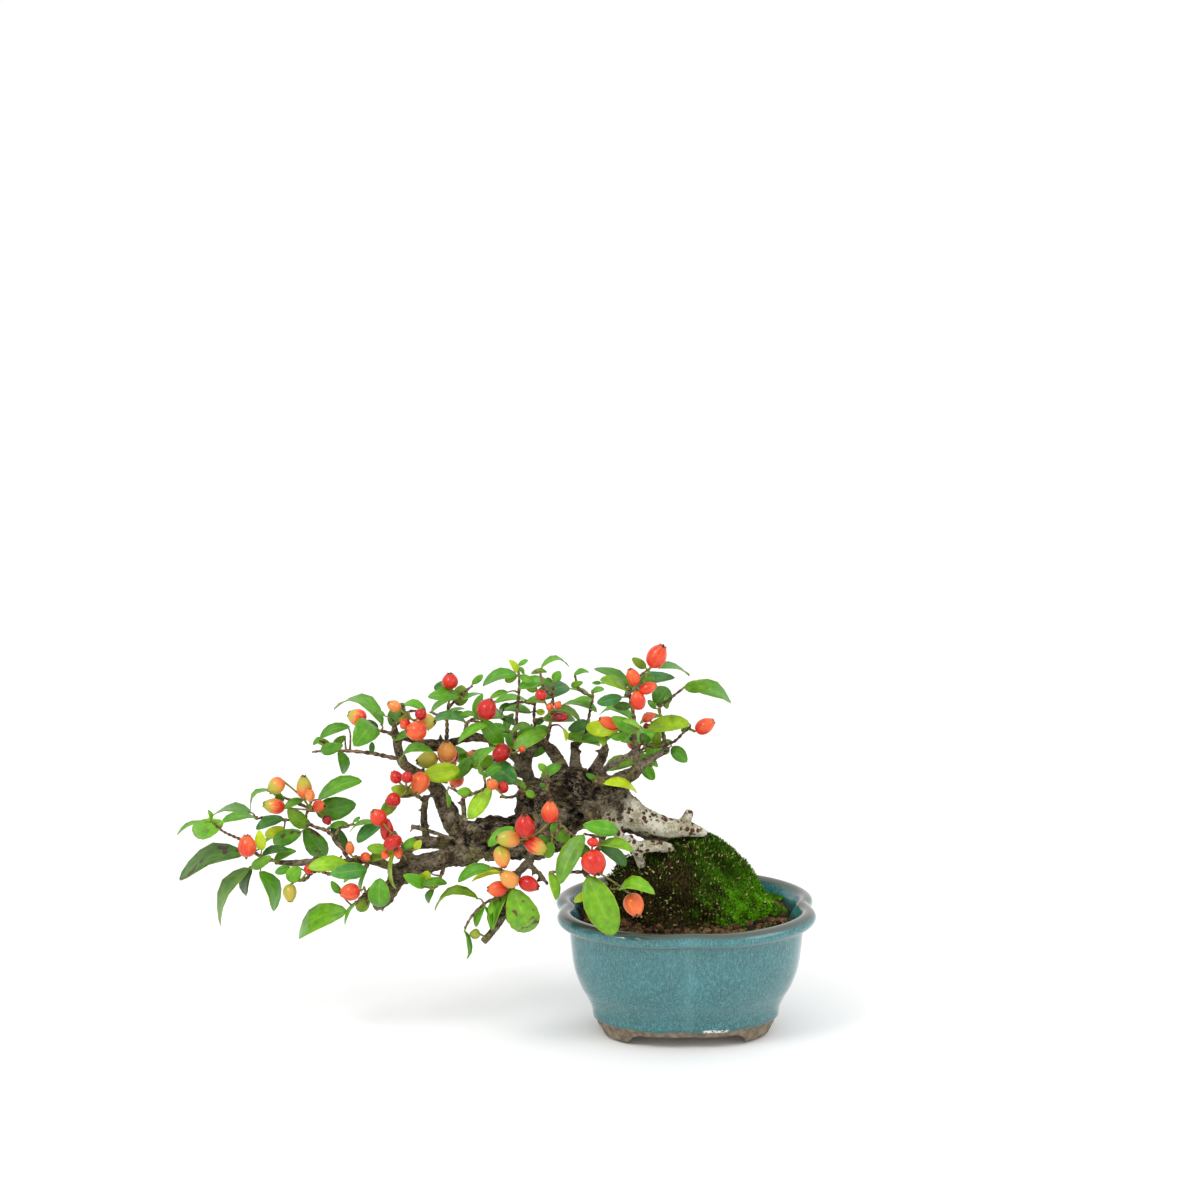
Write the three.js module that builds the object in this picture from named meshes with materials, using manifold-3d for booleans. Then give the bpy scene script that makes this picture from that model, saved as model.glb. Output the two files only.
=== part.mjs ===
// Wall cotoneaster bonsai in its glazed, lobed pot.
// Millimetres, +Z up, +X to the right of the front view, +Y away from it.
import * as THREE from 'three';
import Module from 'manifold-3d';

const wasm = await Module();
wasm.setup();

// Pot sizes
const POT_HEIGHT = 46;
const POT_HALF_WIDTH = 47.2;
const POT_HALF_DEPTH = 38.5;
const LOBE_NOTCH = { side: 0.087, front: 0.068, spread: 12, sharpness: 1.4 };
const LOBE_ROUNDNESS = 2.05;
const POT_STEPS = 32;
const WALL = 4;
const FLOOR_TOP = 9;
const FOOT_ARCH = { height: 4.4, frontHalf: 19, sideHalf: 9.5, corner: 2.5 };
const DRAIN_RADIUS = 5;
const SOIL_LEVEL = 40.8;
const MESH_SIDE = 17;
const MESH_THICK = 0.9;
const MESH_HOLE = 4.5;
const MESH_PITCH = 7;
const MESH_ROWS = [-0.5, 0.5];

// Growth sizes
const GAP = 0.34;
const LEAF_THICK = 0.62;
const LEAF_SHORTEST_WIDTH = 0.44;
const LEAF_STALK = 0.34;
const BERRY_STALK = 0.42;
const SEED = 20817;
const FINEST = 0.01;
const SHORTEST_EDGE = 0.04;

// The routes below are read off a front view of the tree, as picture points across and down,
// with a depth in mm behind the middle of the pot. This is the view that they are read in.
const VIEW = {
  scale: 0.349,
  distance: 1500,
  elevation: THREE.MathUtils.degToRad(20.3),
  turn: THREE.MathUtils.degToRad(1.5),
  middle: 600,
  potFoot: [685, 1027],
};

function makeView() {
  const focal = VIEW.distance / VIEW.scale;
  const across = (VIEW.potFoot[0] - VIEW.middle) / focal;
  const down = (VIEW.potFoot[1] - VIEW.middle) / focal;
  const pitch = VIEW.elevation - Math.atan(down);
  const forward = new THREE.Vector3(
    Math.sin(VIEW.turn) * Math.cos(pitch), Math.cos(VIEW.turn) * Math.cos(pitch), -Math.sin(pitch));
  const right = new THREE.Vector3(Math.cos(VIEW.turn), -Math.sin(VIEW.turn), 0);
  const up = new THREE.Vector3().crossVectors(right, forward);
  const toFoot = forward.clone().addScaledVector(right, across).addScaledVector(up, -down);
  return { focal, forward, right, up, eye: toFoot.multiplyScalar(-VIEW.distance) };
}

const SIGHT = makeView();

// The point of the model that lies under a picture point at a depth.
function at(across, down, depth) {
  const ray = SIGHT.forward.clone()
    .addScaledVector(SIGHT.right, (across - VIEW.middle) / SIGHT.focal)
    .addScaledVector(SIGHT.up, -(down - VIEW.middle) / SIGHT.focal);
  return SIGHT.eye.clone().addScaledVector(ray, (depth - SIGHT.eye.y) / ray.y);
}

// A repeatable draw between 0 and 1.
function makeDraw(seed) {
  let state = seed >>> 0;
  return () => {
    state = (state + 0x6D2B79F5) >>> 0;
    let mixed = Math.imul(state ^ (state >>> 15), 1 | state);
    mixed = (mixed + Math.imul(mixed ^ (mixed >>> 7), 61 | mixed)) ^ mixed;
    return ((mixed ^ (mixed >>> 14)) >>> 0) / 4294967296;
  };
}

// Woody limbs, each [across, down, depth, thickness] in picture points but for the depth.
const LIMBS = {
  trunk: [[652, 828, 0, 26], [625, 812, -1, 40], [602, 802, -2, 52], [575, 798, -2, 64], [552, 806, -3, 62],
    [530, 822, -4, 50]],
  shoulder: [[560, 815, -3, 50], [540, 833, -4, 48], [510, 838, -6, 46], [480, 838, -7, 42], [462, 847, -7, 28]],
  upperRoot: [[600, 803, -2, 34], [622, 810, -3, 30], [645, 821, -3, 25], [665, 827, -3, 22], [690, 829, -2, 16],
    [706, 834, 0, 8]],
  rootStub: [[680, 828, -2, 12], [687, 818, -2, 11], [690, 810, -2, 9]],
  lowerRoot: [[605, 815, -6, 26], [618, 834, -8, 10], [635, 846, -8, 12], [655, 846, -8, 13], [672, 848, -4, 9]],
  smallRoot: [[628, 836, -8, 9], [637, 852, -8, 11], [642, 866, -5, 9]],
  tapRoot: [[640, 822, 0, 24], [668, 842, 4, 22], [682, 868, 7, 14]],
  backRoot: [[630, 812, 2, 20], [652, 826, 10, 15], [668, 846, 14, 10]],
  mainLimb: [[480, 840, -7, 34], [468, 853, -8, 27], [450, 856, -8, 24], [430, 862, -9, 21], [415, 868, -9, 21],
    [401, 873, -10, 23], [392, 886, -12, 18], [384, 900, -13, 15], [373, 907, -14, 13]],
  mainTwin: [[468, 842, -4, 22], [450, 843, -2, 14], [430, 843, -1, 13], [416, 843, -2, 13], [407, 852, -6, 11],
    [405, 866, -9, 11]],
  midBack: [[428, 844, 0, 10], [425, 830, 3, 8], [424, 811, 4, 8], [426, 795, 4, 6]],
  upLeft: [[470, 842, -5, 26], [453, 822, -1, 24], [445, 805, 2, 19], [437, 790, 5, 16], [425, 779, 7, 12],
    [406, 766, 8, 11], [400, 755, 9, 10], [397, 742, 9, 9], [394, 724, 8, 6]],
  limbA: [[528, 825, 0, 26], [527, 802, 4, 24], [529, 781, 8, 14], [526, 765, 10, 12], [531, 751, 12, 10],
    [540, 742, 14, 8]],
  limbB: [[565, 782, -1, 20], [560, 764, 4, 14], [550, 749, 9, 12], [540, 739, 14, 8]],
  limbC: [[577, 780, 5, 16], [575, 760, 11, 11], [575, 750, 14, 9], [573, 742, 16, 7]],
  limbD: [[588, 784, 0, 18], [592, 772, 1, 13], [600, 761, 2, 11], [604, 750, 2, 9], [606, 744, 1, 6]],
  limbE: [[598, 780, -4, 14], [605, 769, -7, 8], [622, 759, -11, 6], [634, 751, -14, 5]],
  limbF: [[590, 786, -4, 20], [602, 779, -6, 11], [615, 780, -7, 9], [627, 780, -8, 10], [635, 772, -8, 13],
    [642, 765, -7, 11], [655, 757, -4, 8], [668, 749, -1, 7]],
  limbG: [[637, 770, -8, 9], [636, 757, -9, 8], [635, 745, -10, 7], [634, 735, -11, 6]],
  arch: [[528, 776, 8, 14], [522, 768, 8, 11], [515, 757, 9, 10], [503, 748, 10, 9], [490, 740, 11, 9],
    [475, 737, 12, 9], [460, 740, 12, 9], [446, 744, 12, 10], [433, 745, 12, 13], [420, 742, 11, 9],
    [405, 737, 10, 8], [397, 735, 9, 7]],
  midThin: [[462, 842, -9, 8], [448, 837, -10, 5], [425, 830, -11, 5], [411, 826, -12, 5]],
  innerUp: [[464, 834, -8, 8], [464, 816, -8, 6], [463, 800, -8, 5]],
  lowerLeft: [[408, 876, -10, 12], [400, 872, -10, 10], [385, 864, -9, 9], [370, 860, -9, 9], [350, 862, -9, 9],
    [330, 863, -8, 8], [312, 862, -8, 7], [295, 863, -7, 7], [274, 862, -7, 6]],
  lowerFront: [[552, 818, -16, 24], [545, 834, -19, 13], [535, 850, -22, 10], [528, 862, -24, 9],
    [518, 873, -26, 9], [512, 886, -27, 8], [507, 901, -28, 8], [503, 915, -29, 9], [494, 930, -30, 9],
    [483, 942, -30, 8]],
  lowerFrontSide: [[528, 864, -24, 6], [540, 874, -26, 5], [548, 885, -27, 4]],
  frontRight: [[592, 812, -16, 16], [600, 830, -22, 10], [601, 845, -27, 7], [590, 857, -31, 6],
    [585, 869, -34, 5], [590, 879, -36, 4]],
  frontRightRoot: [[592, 808, -2, 30], [592, 812, -16, 16]],
  frontRoot: [[556, 812, -3, 40], [553, 817, -15, 26]],
  backLimb: [[560, 802, 6, 34], [545, 790, 16, 16], [528, 778, 23, 10], [505, 770, 28, 7], [480, 768, 30, 6]],
  backRight: [[592, 800, 4, 26], [606, 786, 13, 12], [622, 774, 19, 8], [640, 768, 22, 6]],
};
const LIMB_SIDES = { trunk: 8, shoulder: 8, upperRoot: 7, mainLimb: 6, upLeft: 6, limbF: 6 };
const THIN_LIMB_SIDES = 4;

// Leafy stems: their twigs as [across, down, depth], then each leaf as
// [base across, base down, tip across, tip down, width seen].
const SPRAYS = {
  spray_far_left: {
    twigs: [[[284, 863, -7], [272, 860, -9], [258, 855, -11], [245, 842, -12], [235, 837, -13], [226, 833, -13],
      [218, 828, -13]], [[271, 860, -9.3], [262, 865, -8], [251, 867, -7]]],
    leaves: [[244, 853, 180, 880, 18], [224, 822, 193, 833, 20], [206, 822, 177, 835, 3], [211, 820, 208, 810, 4],
      [262, 850, 259, 830, 11], [258, 850, 272, 838, 4], [249, 868, 221, 926, 14], [252, 869, 246, 895, 12],
      [260, 872, 274, 910, 14], [252, 868, 271, 856, 11], [262, 855, 289, 850, 8]],
    spare: 1,
  },
  spray_left_top: {
    twigs: [[[350, 862, -9], [342, 848, -6], [335, 838, -3], [325, 830, 0], [313, 826, 2], [306, 818, 3],
      [309, 808, 3], [311, 803, 3]], [[306, 818, 3], [285, 820, 6], [268, 817, 8], [256, 819, 8]],
      [[309, 808, 3], [290, 800, 4], [274, 794, 4]], [[335, 838, -3], [340, 828, -7], [354, 824, -9]]],
    leaves: [[250, 812, 206, 822, 5], [256, 818, 222, 823, 8], [272, 790, 251, 812, 3], [283, 818, 256, 829, 11],
      [285, 828, 265, 836, 12], [302, 832, 273, 843, 16], [306, 827, 288, 808, 16], [303, 800, 284, 809, 8],
      [280, 802, 279, 792, 10], [305, 828, 325, 856, 22], [318, 800, 362, 781, 14], [316, 812, 356, 804, 24],
      [330, 826, 350, 826, 8], [332, 826, 347, 850, 14], [353, 822, 360, 817, 4]],
    spare: 0,
  },
  spray_left_low: {
    twigs: [[[369, 861, -9], [364, 868, -13], [345, 872, -13.5], [330, 874, -13], [320, 871, -12],
      [312, 873, -12], [305, 880, -11], [296, 881, -10], [291, 884, -10]]],
    leaves: [[290, 867, 275, 873, 9], [300, 867, 288, 881, 15], [350, 866, 308, 868, 15], [367, 870, 330, 874, 17],
      [366, 867, 344, 883, 8], [365, 875, 362, 893, 4]],
    spare: 1,
  },
  spray_left_end: {
    twigs: [[[388, 888, -12], [378, 884, -15], [366, 893, -17], [357, 902, -18], [349, 910, -18]],
      [[366, 893, -17], [368, 905, -19]]],
    leaves: [[380, 878, 379, 907, 22], [368, 897, 358, 911, 14], [347, 911, 299, 937, 22], [356, 902, 345, 925, 4],
      [340, 893, 331, 881, 8]],
    spare: 0,
  },
  spray_mid_red: {
    twigs: [[[411, 866, -9], [404, 856, -12.5], [402, 845, -13], [396, 834, -13], [388, 827, -13],
      [380, 822, -13]], [[404, 854, -12.5], [415, 849, -15]]],
    leaves: [[374, 823, 350, 832, 4], [383, 823, 357, 842, 13], [389, 849, 367, 848, 11], [402, 849, 416, 839, 10],
      [415, 849, 421, 840, 8], [397, 849, 396, 889, 4]],
    spare: 0,
  },
  spray_under_main: {
    twigs: [[[446, 862, -9], [440, 878, -13], [434, 888, -15], [420, 884, -16], [412, 883, -16]]],
    leaves: [[428, 871, 424, 883, 14], [434, 889, 428, 903, 7]],
    spare: 2,
  },
  spray_upper_left_low: {
    twigs: [[[424, 800, 4], [414, 795, -2], [402, 797, -6]]],
    leaves: [[415, 794, 391, 788, 13], [398, 797, 381, 816, 13]],
    spare: 0,
  },
  spray_upper_left_tip: {
    twigs: [[[403, 760, 9], [385, 756, 11], [370, 753, 12], [350, 751, 13], [335, 751, 14], [322, 751, 14],
      [312, 752, 14]], [[335, 751, 14], [325, 743, 12], [318, 741, 11]]],
    leaves: [[350, 727, 320, 738, 10], [320, 737, 313, 745, 5], [346, 736, 333, 748, 8], [372, 742, 372, 754, 6]],
    spare: 3,
  },
  spray_upper_left_crown: {
    twigs: [[[398, 744, 9], [391, 734, 5], [380, 731, 3], [372, 731, 2]],
      [[391, 734, 5], [396, 724, 3.5], [402, 716, 3], [411, 711, 3], [421, 712, 3]],
      [[402, 716, 3], [403, 704, 2]]],
    leaves: [[383, 725, 334, 710, 9], [372, 724, 354, 746, 26], [378, 728, 367, 720, 7], [403, 703, 391, 726, 17],
      [426, 711, 402, 706, 8], [385, 716, 376, 712, 4], [399, 721, 409, 716, 7]],
    spare: 1,
  },
  spray_arch_left: {
    twigs: [[[412, 770, 8], [415, 769, 3], [424, 773, 1], [433, 779, 0]],
      [[415, 769, 3], [408, 766, 1], [401, 764, 0]]],
    leaves: [[400, 764, 433, 752, 7], [423, 775, 460, 770, 20], [432, 781, 448, 783, 5]],
    spare: 0,
  },
  spray_arch_top: {
    twigs: [[[446, 744, 12], [447, 732, 14], [447, 720, 15], [448, 708, 15], [451, 690, 15]], [[448, 708, 15],
      [462, 694, 16], [472, 686, 17]], [[447, 720, 15], [437, 715, 17], [431, 712, 18]]],
    leaves: [[456, 684, 434, 688, 12], [459, 706, 462, 685, 17], [472, 684, 483, 675, 7], [463, 700, 483, 694, 4],
      [431, 713, 448, 701, 6], [445, 716, 465, 709, 4]],
    spare: 2,
  },
  spray_arch_mid: {
    twigs: [[[466, 738, 12], [466, 726, 7], [471, 720, 4], [481, 717, 3]], [[471, 720, 4], [484, 724, 1]]],
    leaves: [[475, 716, 483, 694, 9], [476, 716, 461, 714, 5], [466, 722, 428, 732, 8], [487, 725, 458, 743, 9],
      [481, 719, 503, 746, 17]],
    spare: 1,
  },
  spray_top_rosette: {
    twigs: [[[514, 756, 9], [515, 738, 7], [517, 712, 5], [519, 692, 4], [519, 676, 3]],
      [[515, 738, 7], [513, 746, 3], [510, 750, 1]]],
    leaves: [[517, 675, 483, 686, 11], [517, 676, 505, 681, 8], [517, 672, 509, 660, 7], [518, 666, 528, 660, 5],
      [520, 676, 534, 682, 8], [519, 667, 524, 675, 4], [508, 692, 490, 699, 6], [513, 749, 547, 733, 15],
      [509, 750, 493, 744, 4], [512, 731, 530, 725, 7]],
    spare: 1,
  },
  spray_top_mid: {
    twigs: [[[540, 744, 14], [536, 730, 16], [534, 716, 18], [535, 704, 19], [537, 690, 20]],
      [[535, 704, 19], [522, 702, 18], [511, 704, 17]]],
    leaves: [[537, 690, 524, 685, 9], [526, 700, 494, 703, 6], [510, 704, 499, 709, 5], [531, 713, 498, 711, 9],
      [545, 702, 526, 702, 7], [545, 712, 536, 712, 7], [545, 718, 534, 724, 7], [500, 718, 517, 726, 7]],
    spare: 1,
  },
  spray_top_mid_right: {
    twigs: [[[546, 745, 10], [549, 730, 4], [552, 712, 0], [553, 697, -3], [553, 682, -5]],
      [[553, 697, -3], [543, 684, -5], [540, 671, -7]]],
    leaves: [[536, 700, 569, 687, 17], [541, 668, 569, 667, 4], [531, 674, 547, 672, 5], [554, 681, 560, 671, 10],
      [552, 681, 546, 678, 4], [543, 720, 575, 720, 12], [550, 731, 535, 727, 9], [580, 720, 546, 717, 7],
      [563, 728, 566, 741, 4]],
    spare: 1,
  },
  spray_top_right_inner: {
    twigs: [[[574, 746, 15], [584, 738, 15], [588, 722, 15], [590, 711, 15], [593, 697, 15], [592, 690, 15]],
      [[593, 697, 15], [579, 689, 17], [575, 676, 18]]],
    leaves: [[571, 686, 583, 682, 7], [574, 675, 589, 672, 5], [597, 712, 560, 707, 7], [590, 697, 569, 689, 4],
      [592, 700, 571, 703, 5], [591, 693, 604, 689, 6], [588, 722, 568, 730, 12], [566, 738, 600, 745, 14]],
    spare: 1,
  },
  spray_right_inner: {
    twigs: [[[605, 748, 2], [605, 738, -1], [611, 733, -3], [619, 730, -5], [627, 735, -4]]],
    leaves: [[619, 730, 586, 727, 16], [601, 734, 604, 746, 8], [627, 735, 611, 738, 9]],
    spare: 1,
  },
  spray_right_top: {
    twigs: [[[634, 738, -11], [635, 727, -12], [633, 712, -12], [630, 697, -12], [631, 687, -12],
      [641, 675, -12], [652, 667, -12]]],
    leaves: [[622, 697, 597, 703, 12], [629, 685, 594, 669, 10], [628, 690, 600, 680, 10], [601, 683, 592, 683, 4],
      [632, 706, 613, 706, 9], [634, 722, 599, 715, 8], [646, 668, 632, 658, 9], [624, 696, 675, 678, 12],
      [658, 668, 689, 676, 5], [641, 730, 623, 721, 5]],
    spare: 2,
  },
  spray_right_mid: {
    twigs: [[[664, 752, -2], [665, 745, 1], [663, 732, 4], [661, 718, 6], [660, 707, 7], [672, 697, 7],
      [685, 687, 6]], [[665, 745, 1], [675, 741, 0], [684, 732, -1], [690, 727, -2]],
      [[665, 745, 1], [652, 747, -1], [643, 743, -2]]],
    leaves: [[655, 704, 668, 688, 22], [667, 709, 665, 697, 5], [656, 709, 648, 700, 6], [690, 724, 647, 730, 16],
      [660, 716, 640, 724, 6], [641, 733, 648, 745, 11], [656, 745, 658, 731, 9], [659, 745, 672, 741, 8],
      [672, 747, 687, 762, 14], [638, 755, 658, 767, 8], [689, 687, 731, 702, 15], [690, 727, 681, 731, 6]],
    spare: 1,
  },
  spray_trunk_leaf: {
    twigs: [[[594, 786, -7], [595, 781, -13], [603, 784, -16]]],
    leaves: [[604, 784, 637, 793, 8], [596, 779, 586, 774, 6]],
    spare: 0,
  },
  spray_centre_limb: {
    twigs: [[[528, 802, -1], [522, 792, -8], [517, 784, -11]], [[522, 792, -8], [512, 797, -10], [500, 797, -11]]],
    leaves: [[517, 782, 492, 765, 24], [526, 789, 506, 783, 6], [526, 791, 535, 797, 8]],
    spare: 0,
  },
  spray_centre_left: {
    twigs: [[[463, 806, -8], [464, 797, -10], [475, 793, -12], [485, 787, -13], [483, 772, -13]],
      [[464, 797, -10], [455, 790, -11], [448, 787, -11]]],
    leaves: [[491, 787, 469, 819, 17], [486, 776, 496, 748, 4], [471, 791, 457, 792, 9], [446, 793, 448, 807, 4]],
    spare: 1,
  },
  spray_trunk_front: {
    twigs: [[[552, 800, -12], [547, 789, -15], [549, 780, -16], [545, 772, -16]]],
    leaves: [[546, 770, 538, 764, 8], [541, 777, 561, 765, 10], [545, 788, 540, 783, 5]],
    spare: 0,
  },
  spray_front_upper: {
    twigs: [[[553, 812, -18], [560, 826, -25], [552, 836, -29], [540, 832, -31], [524, 828, -32], [514, 827, -32]],
      [[560, 826, -25], [574, 836, -30], [583, 840, -32]]],
    leaves: [[515, 828, 488, 846, 12], [551, 824, 569, 841, 16], [550, 840, 539, 837, 9], [580, 840, 566, 848, 12],
      [552, 842, 546, 858, 12], [577, 842, 588, 856, 13]],
    spare: 0,
  },
  spray_front_low: {
    twigs: [[[520, 872, -26], [510, 873, -30], [494, 868, -32], [484, 871, -33]],
      [[514, 882, -27], [511, 888, -32], [497, 897, -33], [484, 904, -33], [472, 916, -33], [465, 928, -33]],
      [[510, 873, -30], [509, 889.4, -32.1]]],
    leaves: [[492, 868, 458, 882, 11], [503, 873, 472, 882, 5], [478, 898, 435, 911, 7], [509, 889, 492, 930, 13],
      [513, 889, 530, 931, 32], [507, 910, 512, 924, 8], [484, 905, 476, 927, 8], [484, 906, 490, 929, 4],
      [492, 903, 490, 915, 6], [464, 931, 467, 959, 4]],
    spare: 0,
  },
  spray_front_right: {
    twigs: [[[601, 843, -27], [604, 838, -31], [608, 833, -33]], [[604, 838, -31], [585, 834, -33]],
      [[586, 866, -33], [583, 872, -38], [590, 880, -40], [600, 888, -41], [615, 889, -42]],
      [[604, 838, -31], [596, 852, -37], [583, 872, -38]], [[583, 872, -38], [566, 872, -39], [550, 872, -39]]],
    leaves: [[584, 835, 560, 884, 20], [549, 872, 556, 900, 10], [618, 831, 583, 825, 16], [600, 845, 633, 852, 10],
      [600, 848, 626, 866, 12], [588, 876, 614, 935, 32], [619, 890, 655, 894, 12], [588, 892, 574, 902, 8]],
    spare: 0,
  },
  spray_back_left: {
    twigs: [[[492, 768, 29], [474, 766, 31], [452, 770, 32], [434, 764, 32]], [[474, 766, 31], [466, 752, 34]]],
    leaves: [],
    spare: 8,
  },
  spray_back_mid: {
    twigs: [[[522, 776, 25], [520, 760, 28], [524, 742, 30], [532, 724, 31]], [[524, 742, 30], [506, 730, 32]]],
    leaves: [],
    spare: 8,
  },
  spray_back_right: {
    twigs: [[[632, 770, 21], [640, 758, 24], [636, 742, 26], [626, 728, 27]],
      [[639, 752, 24.8], [650, 744, 27], [660, 742, 28]]],
    leaves: [],
    spare: 8,
  },
};

// Berry bunches: where the stalks meet, then each berry as [across, down, width, height, calyx way].
const BUNCHES = {
  berries_left_top: {
    knob: [312, 810, -1],
    berries: [[276, 786, 19, 17, 220], [304, 787, 16, 24, 90], [274, 806, 22, 16, 170], [319, 806, 13, 13, 0],
      [310, 795, 10, 13, 90], [327, 820, 10, 10, 300]],
  },
  berries_far_left: { knob: [246, 858, -17], berries: [[247, 846, 19, 22, 90]] },
  berries_left_low: { knob: [300, 880, -15], berries: [[290, 893, 14, 18, 270], [309, 869, 11, 9, 60]] },
  berries_left_mid: { knob: [356, 856, -13], berries: [[350, 848, 9, 13, 90], [366, 857, 11, 10, 0]] },
  berries_left_end: { knob: [364, 887, -21], berries: [[350, 892, 20, 18, 185]] },
  berries_upper_left_low: {
    knob: [408, 788, -6],
    berries: [[396, 777, 13, 13, 120], [407, 777, 12, 12, 80], [420, 783, 20, 22, 250], [393, 800, 15, 15, 200]],
  },
  berries_mid_red: {
    knob: [392, 834, -20],
    berries: [[378, 817, 17, 17, 130], [387, 830, 14, 22, 90], [393, 843, 20, 14, 300], [398, 853, 9, 12, 280],
      [385, 855, 9, 9, 250]],
  },
  berries_upper_left: { knob: [370, 722, 0], berries: [[357, 717, 19, 18, 160]] },
  berries_upper_left_crown: {
    knob: [410, 718, -2],
    berries: [[394, 706, 14, 12, 150], [405, 724, 11, 11, 230], [416, 731, 21, 20, 180], [427, 722, 17, 18, 0],
      [421, 714, 12, 12, 60]],
  },
  berries_arch_left: {
    knob: [440, 760, 6],
    berries: [[427, 760, 22, 18, 190], [447, 752, 20, 22, 95], [454, 755, 10, 16, 80]],
  },
  berries_arch_top: { knob: [450, 692, 12], berries: [[450, 681, 17, 16, 90]] },
  berries_arch_mid: { knob: [480, 716, -1], berries: [[487, 709, 21, 21, 60]] },
  berries_top_mid: {
    knob: [549, 710, -7],
    berries: [[541, 695, 11, 12, 120], [550, 707, 8, 8, 90], [558, 705, 8, 8, 60], [560, 717, 17, 10, 0]],
  },
  berries_right_top: {
    knob: [641, 690, -17],
    berries: [[657, 656, 20, 25, 58], [633, 677, 14, 18, 110], [648, 688, 18, 12, 20], [638, 700, 15, 20, 95]],
  },
  berries_right_inner: { knob: [618, 729, -11], berries: [[609, 723, 22, 13, 155]] },
  berries_right_mid: { knob: [654, 724, 1], berries: [[648, 717, 15, 9, 120], [646, 726, 6, 6, 200]] },
  berries_right_end: { knob: [694, 731, -5], berries: [[705, 726, 21, 16, 30]] },
  berries_centre_front: { knob: [511, 753, -4], berries: [[501, 753, 18, 20, 230], [522, 749, 7, 7, 30]] },
  berries_centre_limb: { knob: [505, 797, -15], berries: [[492, 784, 12, 12, 130], [503, 787, 12, 12, 70]] },
  berries_front_upper: {
    knob: [528, 838, -36],
    berries: [[550, 812, 17, 21, 90], [525, 826, 20, 23, 95], [508, 839, 24, 17, 175], [502, 857, 17, 22, 280],
      [536, 846, 24, 17, 325]],
  },
  berries_front_left: {
    knob: [516, 882, -38],
    berries: [[509, 879, 20, 17, 140], [497, 889, 19, 16, 180], [529, 884, 21, 16, 340]],
  },
  berries_front_right: {
    knob: [590, 868, -42],
    berries: [[594, 863, 25, 25, 290], [593, 842, 12, 9, 80], [634, 905, 21, 23, 285]],
  },
  berries_front_tip: { knob: [484, 938, -34], berries: [[475, 934, 10, 11, 180]] },
  berries_back_left: {
    knob: [462, 768, 38],
    berries: [[448, 762, 17, 18, 120], [472, 758, 16, 17, 70], [456, 780, 17, 16, 240]],
  },
  berries_back_right: {
    knob: [640, 752, 28],
    berries: [[652, 746, 17, 18, 40], [634, 742, 16, 16, 110], [646, 764, 16, 18, 280]],
  },
};

// Moss mound: level, then how far it reaches to the left, right, front and back.
const MOUND_LEVELS = [
  [37.5, 24, 30, 14, 23], [41, 25.5, 31.5, 15, 24], [46, 25.5, 29.5, 14, 22.5], [52, 25.5, 25, 13, 20.5],
  [58, 23, 20.5, 11.5, 18], [63, 16, 15.5, 9, 15], [67, 10, 11.5, 6, 11],
];
const MOUND_TOP = { x: 2, y: 4, z: 69.5 };
const MOUND_STEPS = 20;

// Outer face of the pot, then its inner face: [level, inset from the widest outline].
const POT_OUTSIDE = [
  [0, 17.2], [1.2, 15.6], [5.2, 14.5], [7.1, 13.2], [10.4, 12.7], [14.5, 10.8], [18.2, 8.7],
  [25, 6.3], [POT_HEIGHT - 5.6, 4.4], [POT_HEIGHT - 5, 1.2], [POT_HEIGHT - 2.6, 0],
  [POT_HEIGHT - 0.5, 1.5],
];
const POT_INSIDE = [
  [POT_HEIGHT, 3.2], [POT_HEIGHT - 1.6, 5.6], [POT_HEIGHT - 6, 6.2 + WALL / 2],
  [26, 6.1 + WALL], [16, 10.3 + WALL], [FLOOR_TOP, 13.5 + WALL],
];

function outlinePoint(step, steps, inset) {
  const angle = (2 * Math.PI * step) / steps;
  const c = Math.cos(angle);
  const s = Math.sin(angle);
  const quarter = Math.PI / 2;
  const nearest = Math.abs(angle - quarter * Math.round(angle / quarter));
  const notch = Math.abs(c) > Math.abs(s) ? LOBE_NOTCH.side : LOBE_NOTCH.front;
  const away = THREE.MathUtils.radToDeg(nearest) / LOBE_NOTCH.spread;
  const reach = 1 - notch * Math.exp(-(away ** LOBE_NOTCH.sharpness));
  const bend = 2 / LOBE_ROUNDNESS;
  return [
    (POT_HALF_WIDTH - inset) * reach * Math.sign(c) * Math.abs(c) ** bend,
    (POT_HALF_DEPTH - inset) * reach * Math.sign(s) * Math.abs(s) ** bend,
  ];
}

function outlineRing(level, inset, steps = POT_STEPS) {
  const ring = [];
  for (let step = 0; step < steps; step += 1) {
    const [x, y] = outlinePoint(step, steps, inset);
    ring.push(new THREE.Vector3(x, y, level));
  }
  return ring;
}

// A skin gathers points and faces, and becomes a solid once it is closed.
function makeSkin() {
  const places = [];
  const seen = new Map();
  const faces = [];
  const numberOf = (point) => {
    const key = [point.x, point.y, point.z].map((value) => Math.round(value * 1e5)).join();
    if (!seen.has(key)) {
      seen.set(key, places.length / 3);
      places.push(point.x, point.y, point.z);
    }
    return seen.get(key);
  };
  const face = (...points) => {
    const [a, b, c] = points.map(numberOf);
    if (a !== b && b !== c && a !== c) faces.push(a, b, c);
  };
  const bridge = (low, high, isOpen = () => false) => {
    low.forEach((point, side) => {
      if (isOpen(side)) return;
      const next = (side + 1) % low.length;
      face(point, low[next], high[next]);
      face(point, high[next], high[side]);
    });
  };
  const cap = (ring) => {
    for (let side = 1; side + 1 < ring.length; side += 1) face(ring[0], ring[side], ring[side + 1]);
  };
  return { bridge, cap, solid: () => solidFrom(places, faces) };
}

// Joins rings of equally many points into one closed solid; a ring may shrink to a point or an edge.
function loft(rings) {
  const skin = makeSkin();
  skin.cap([...rings[0]].reverse());
  rings.slice(1).forEach((ring, index) => skin.bridge(rings[index], ring));
  skin.cap(rings[rings.length - 1]);
  return skin.solid();
}

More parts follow.
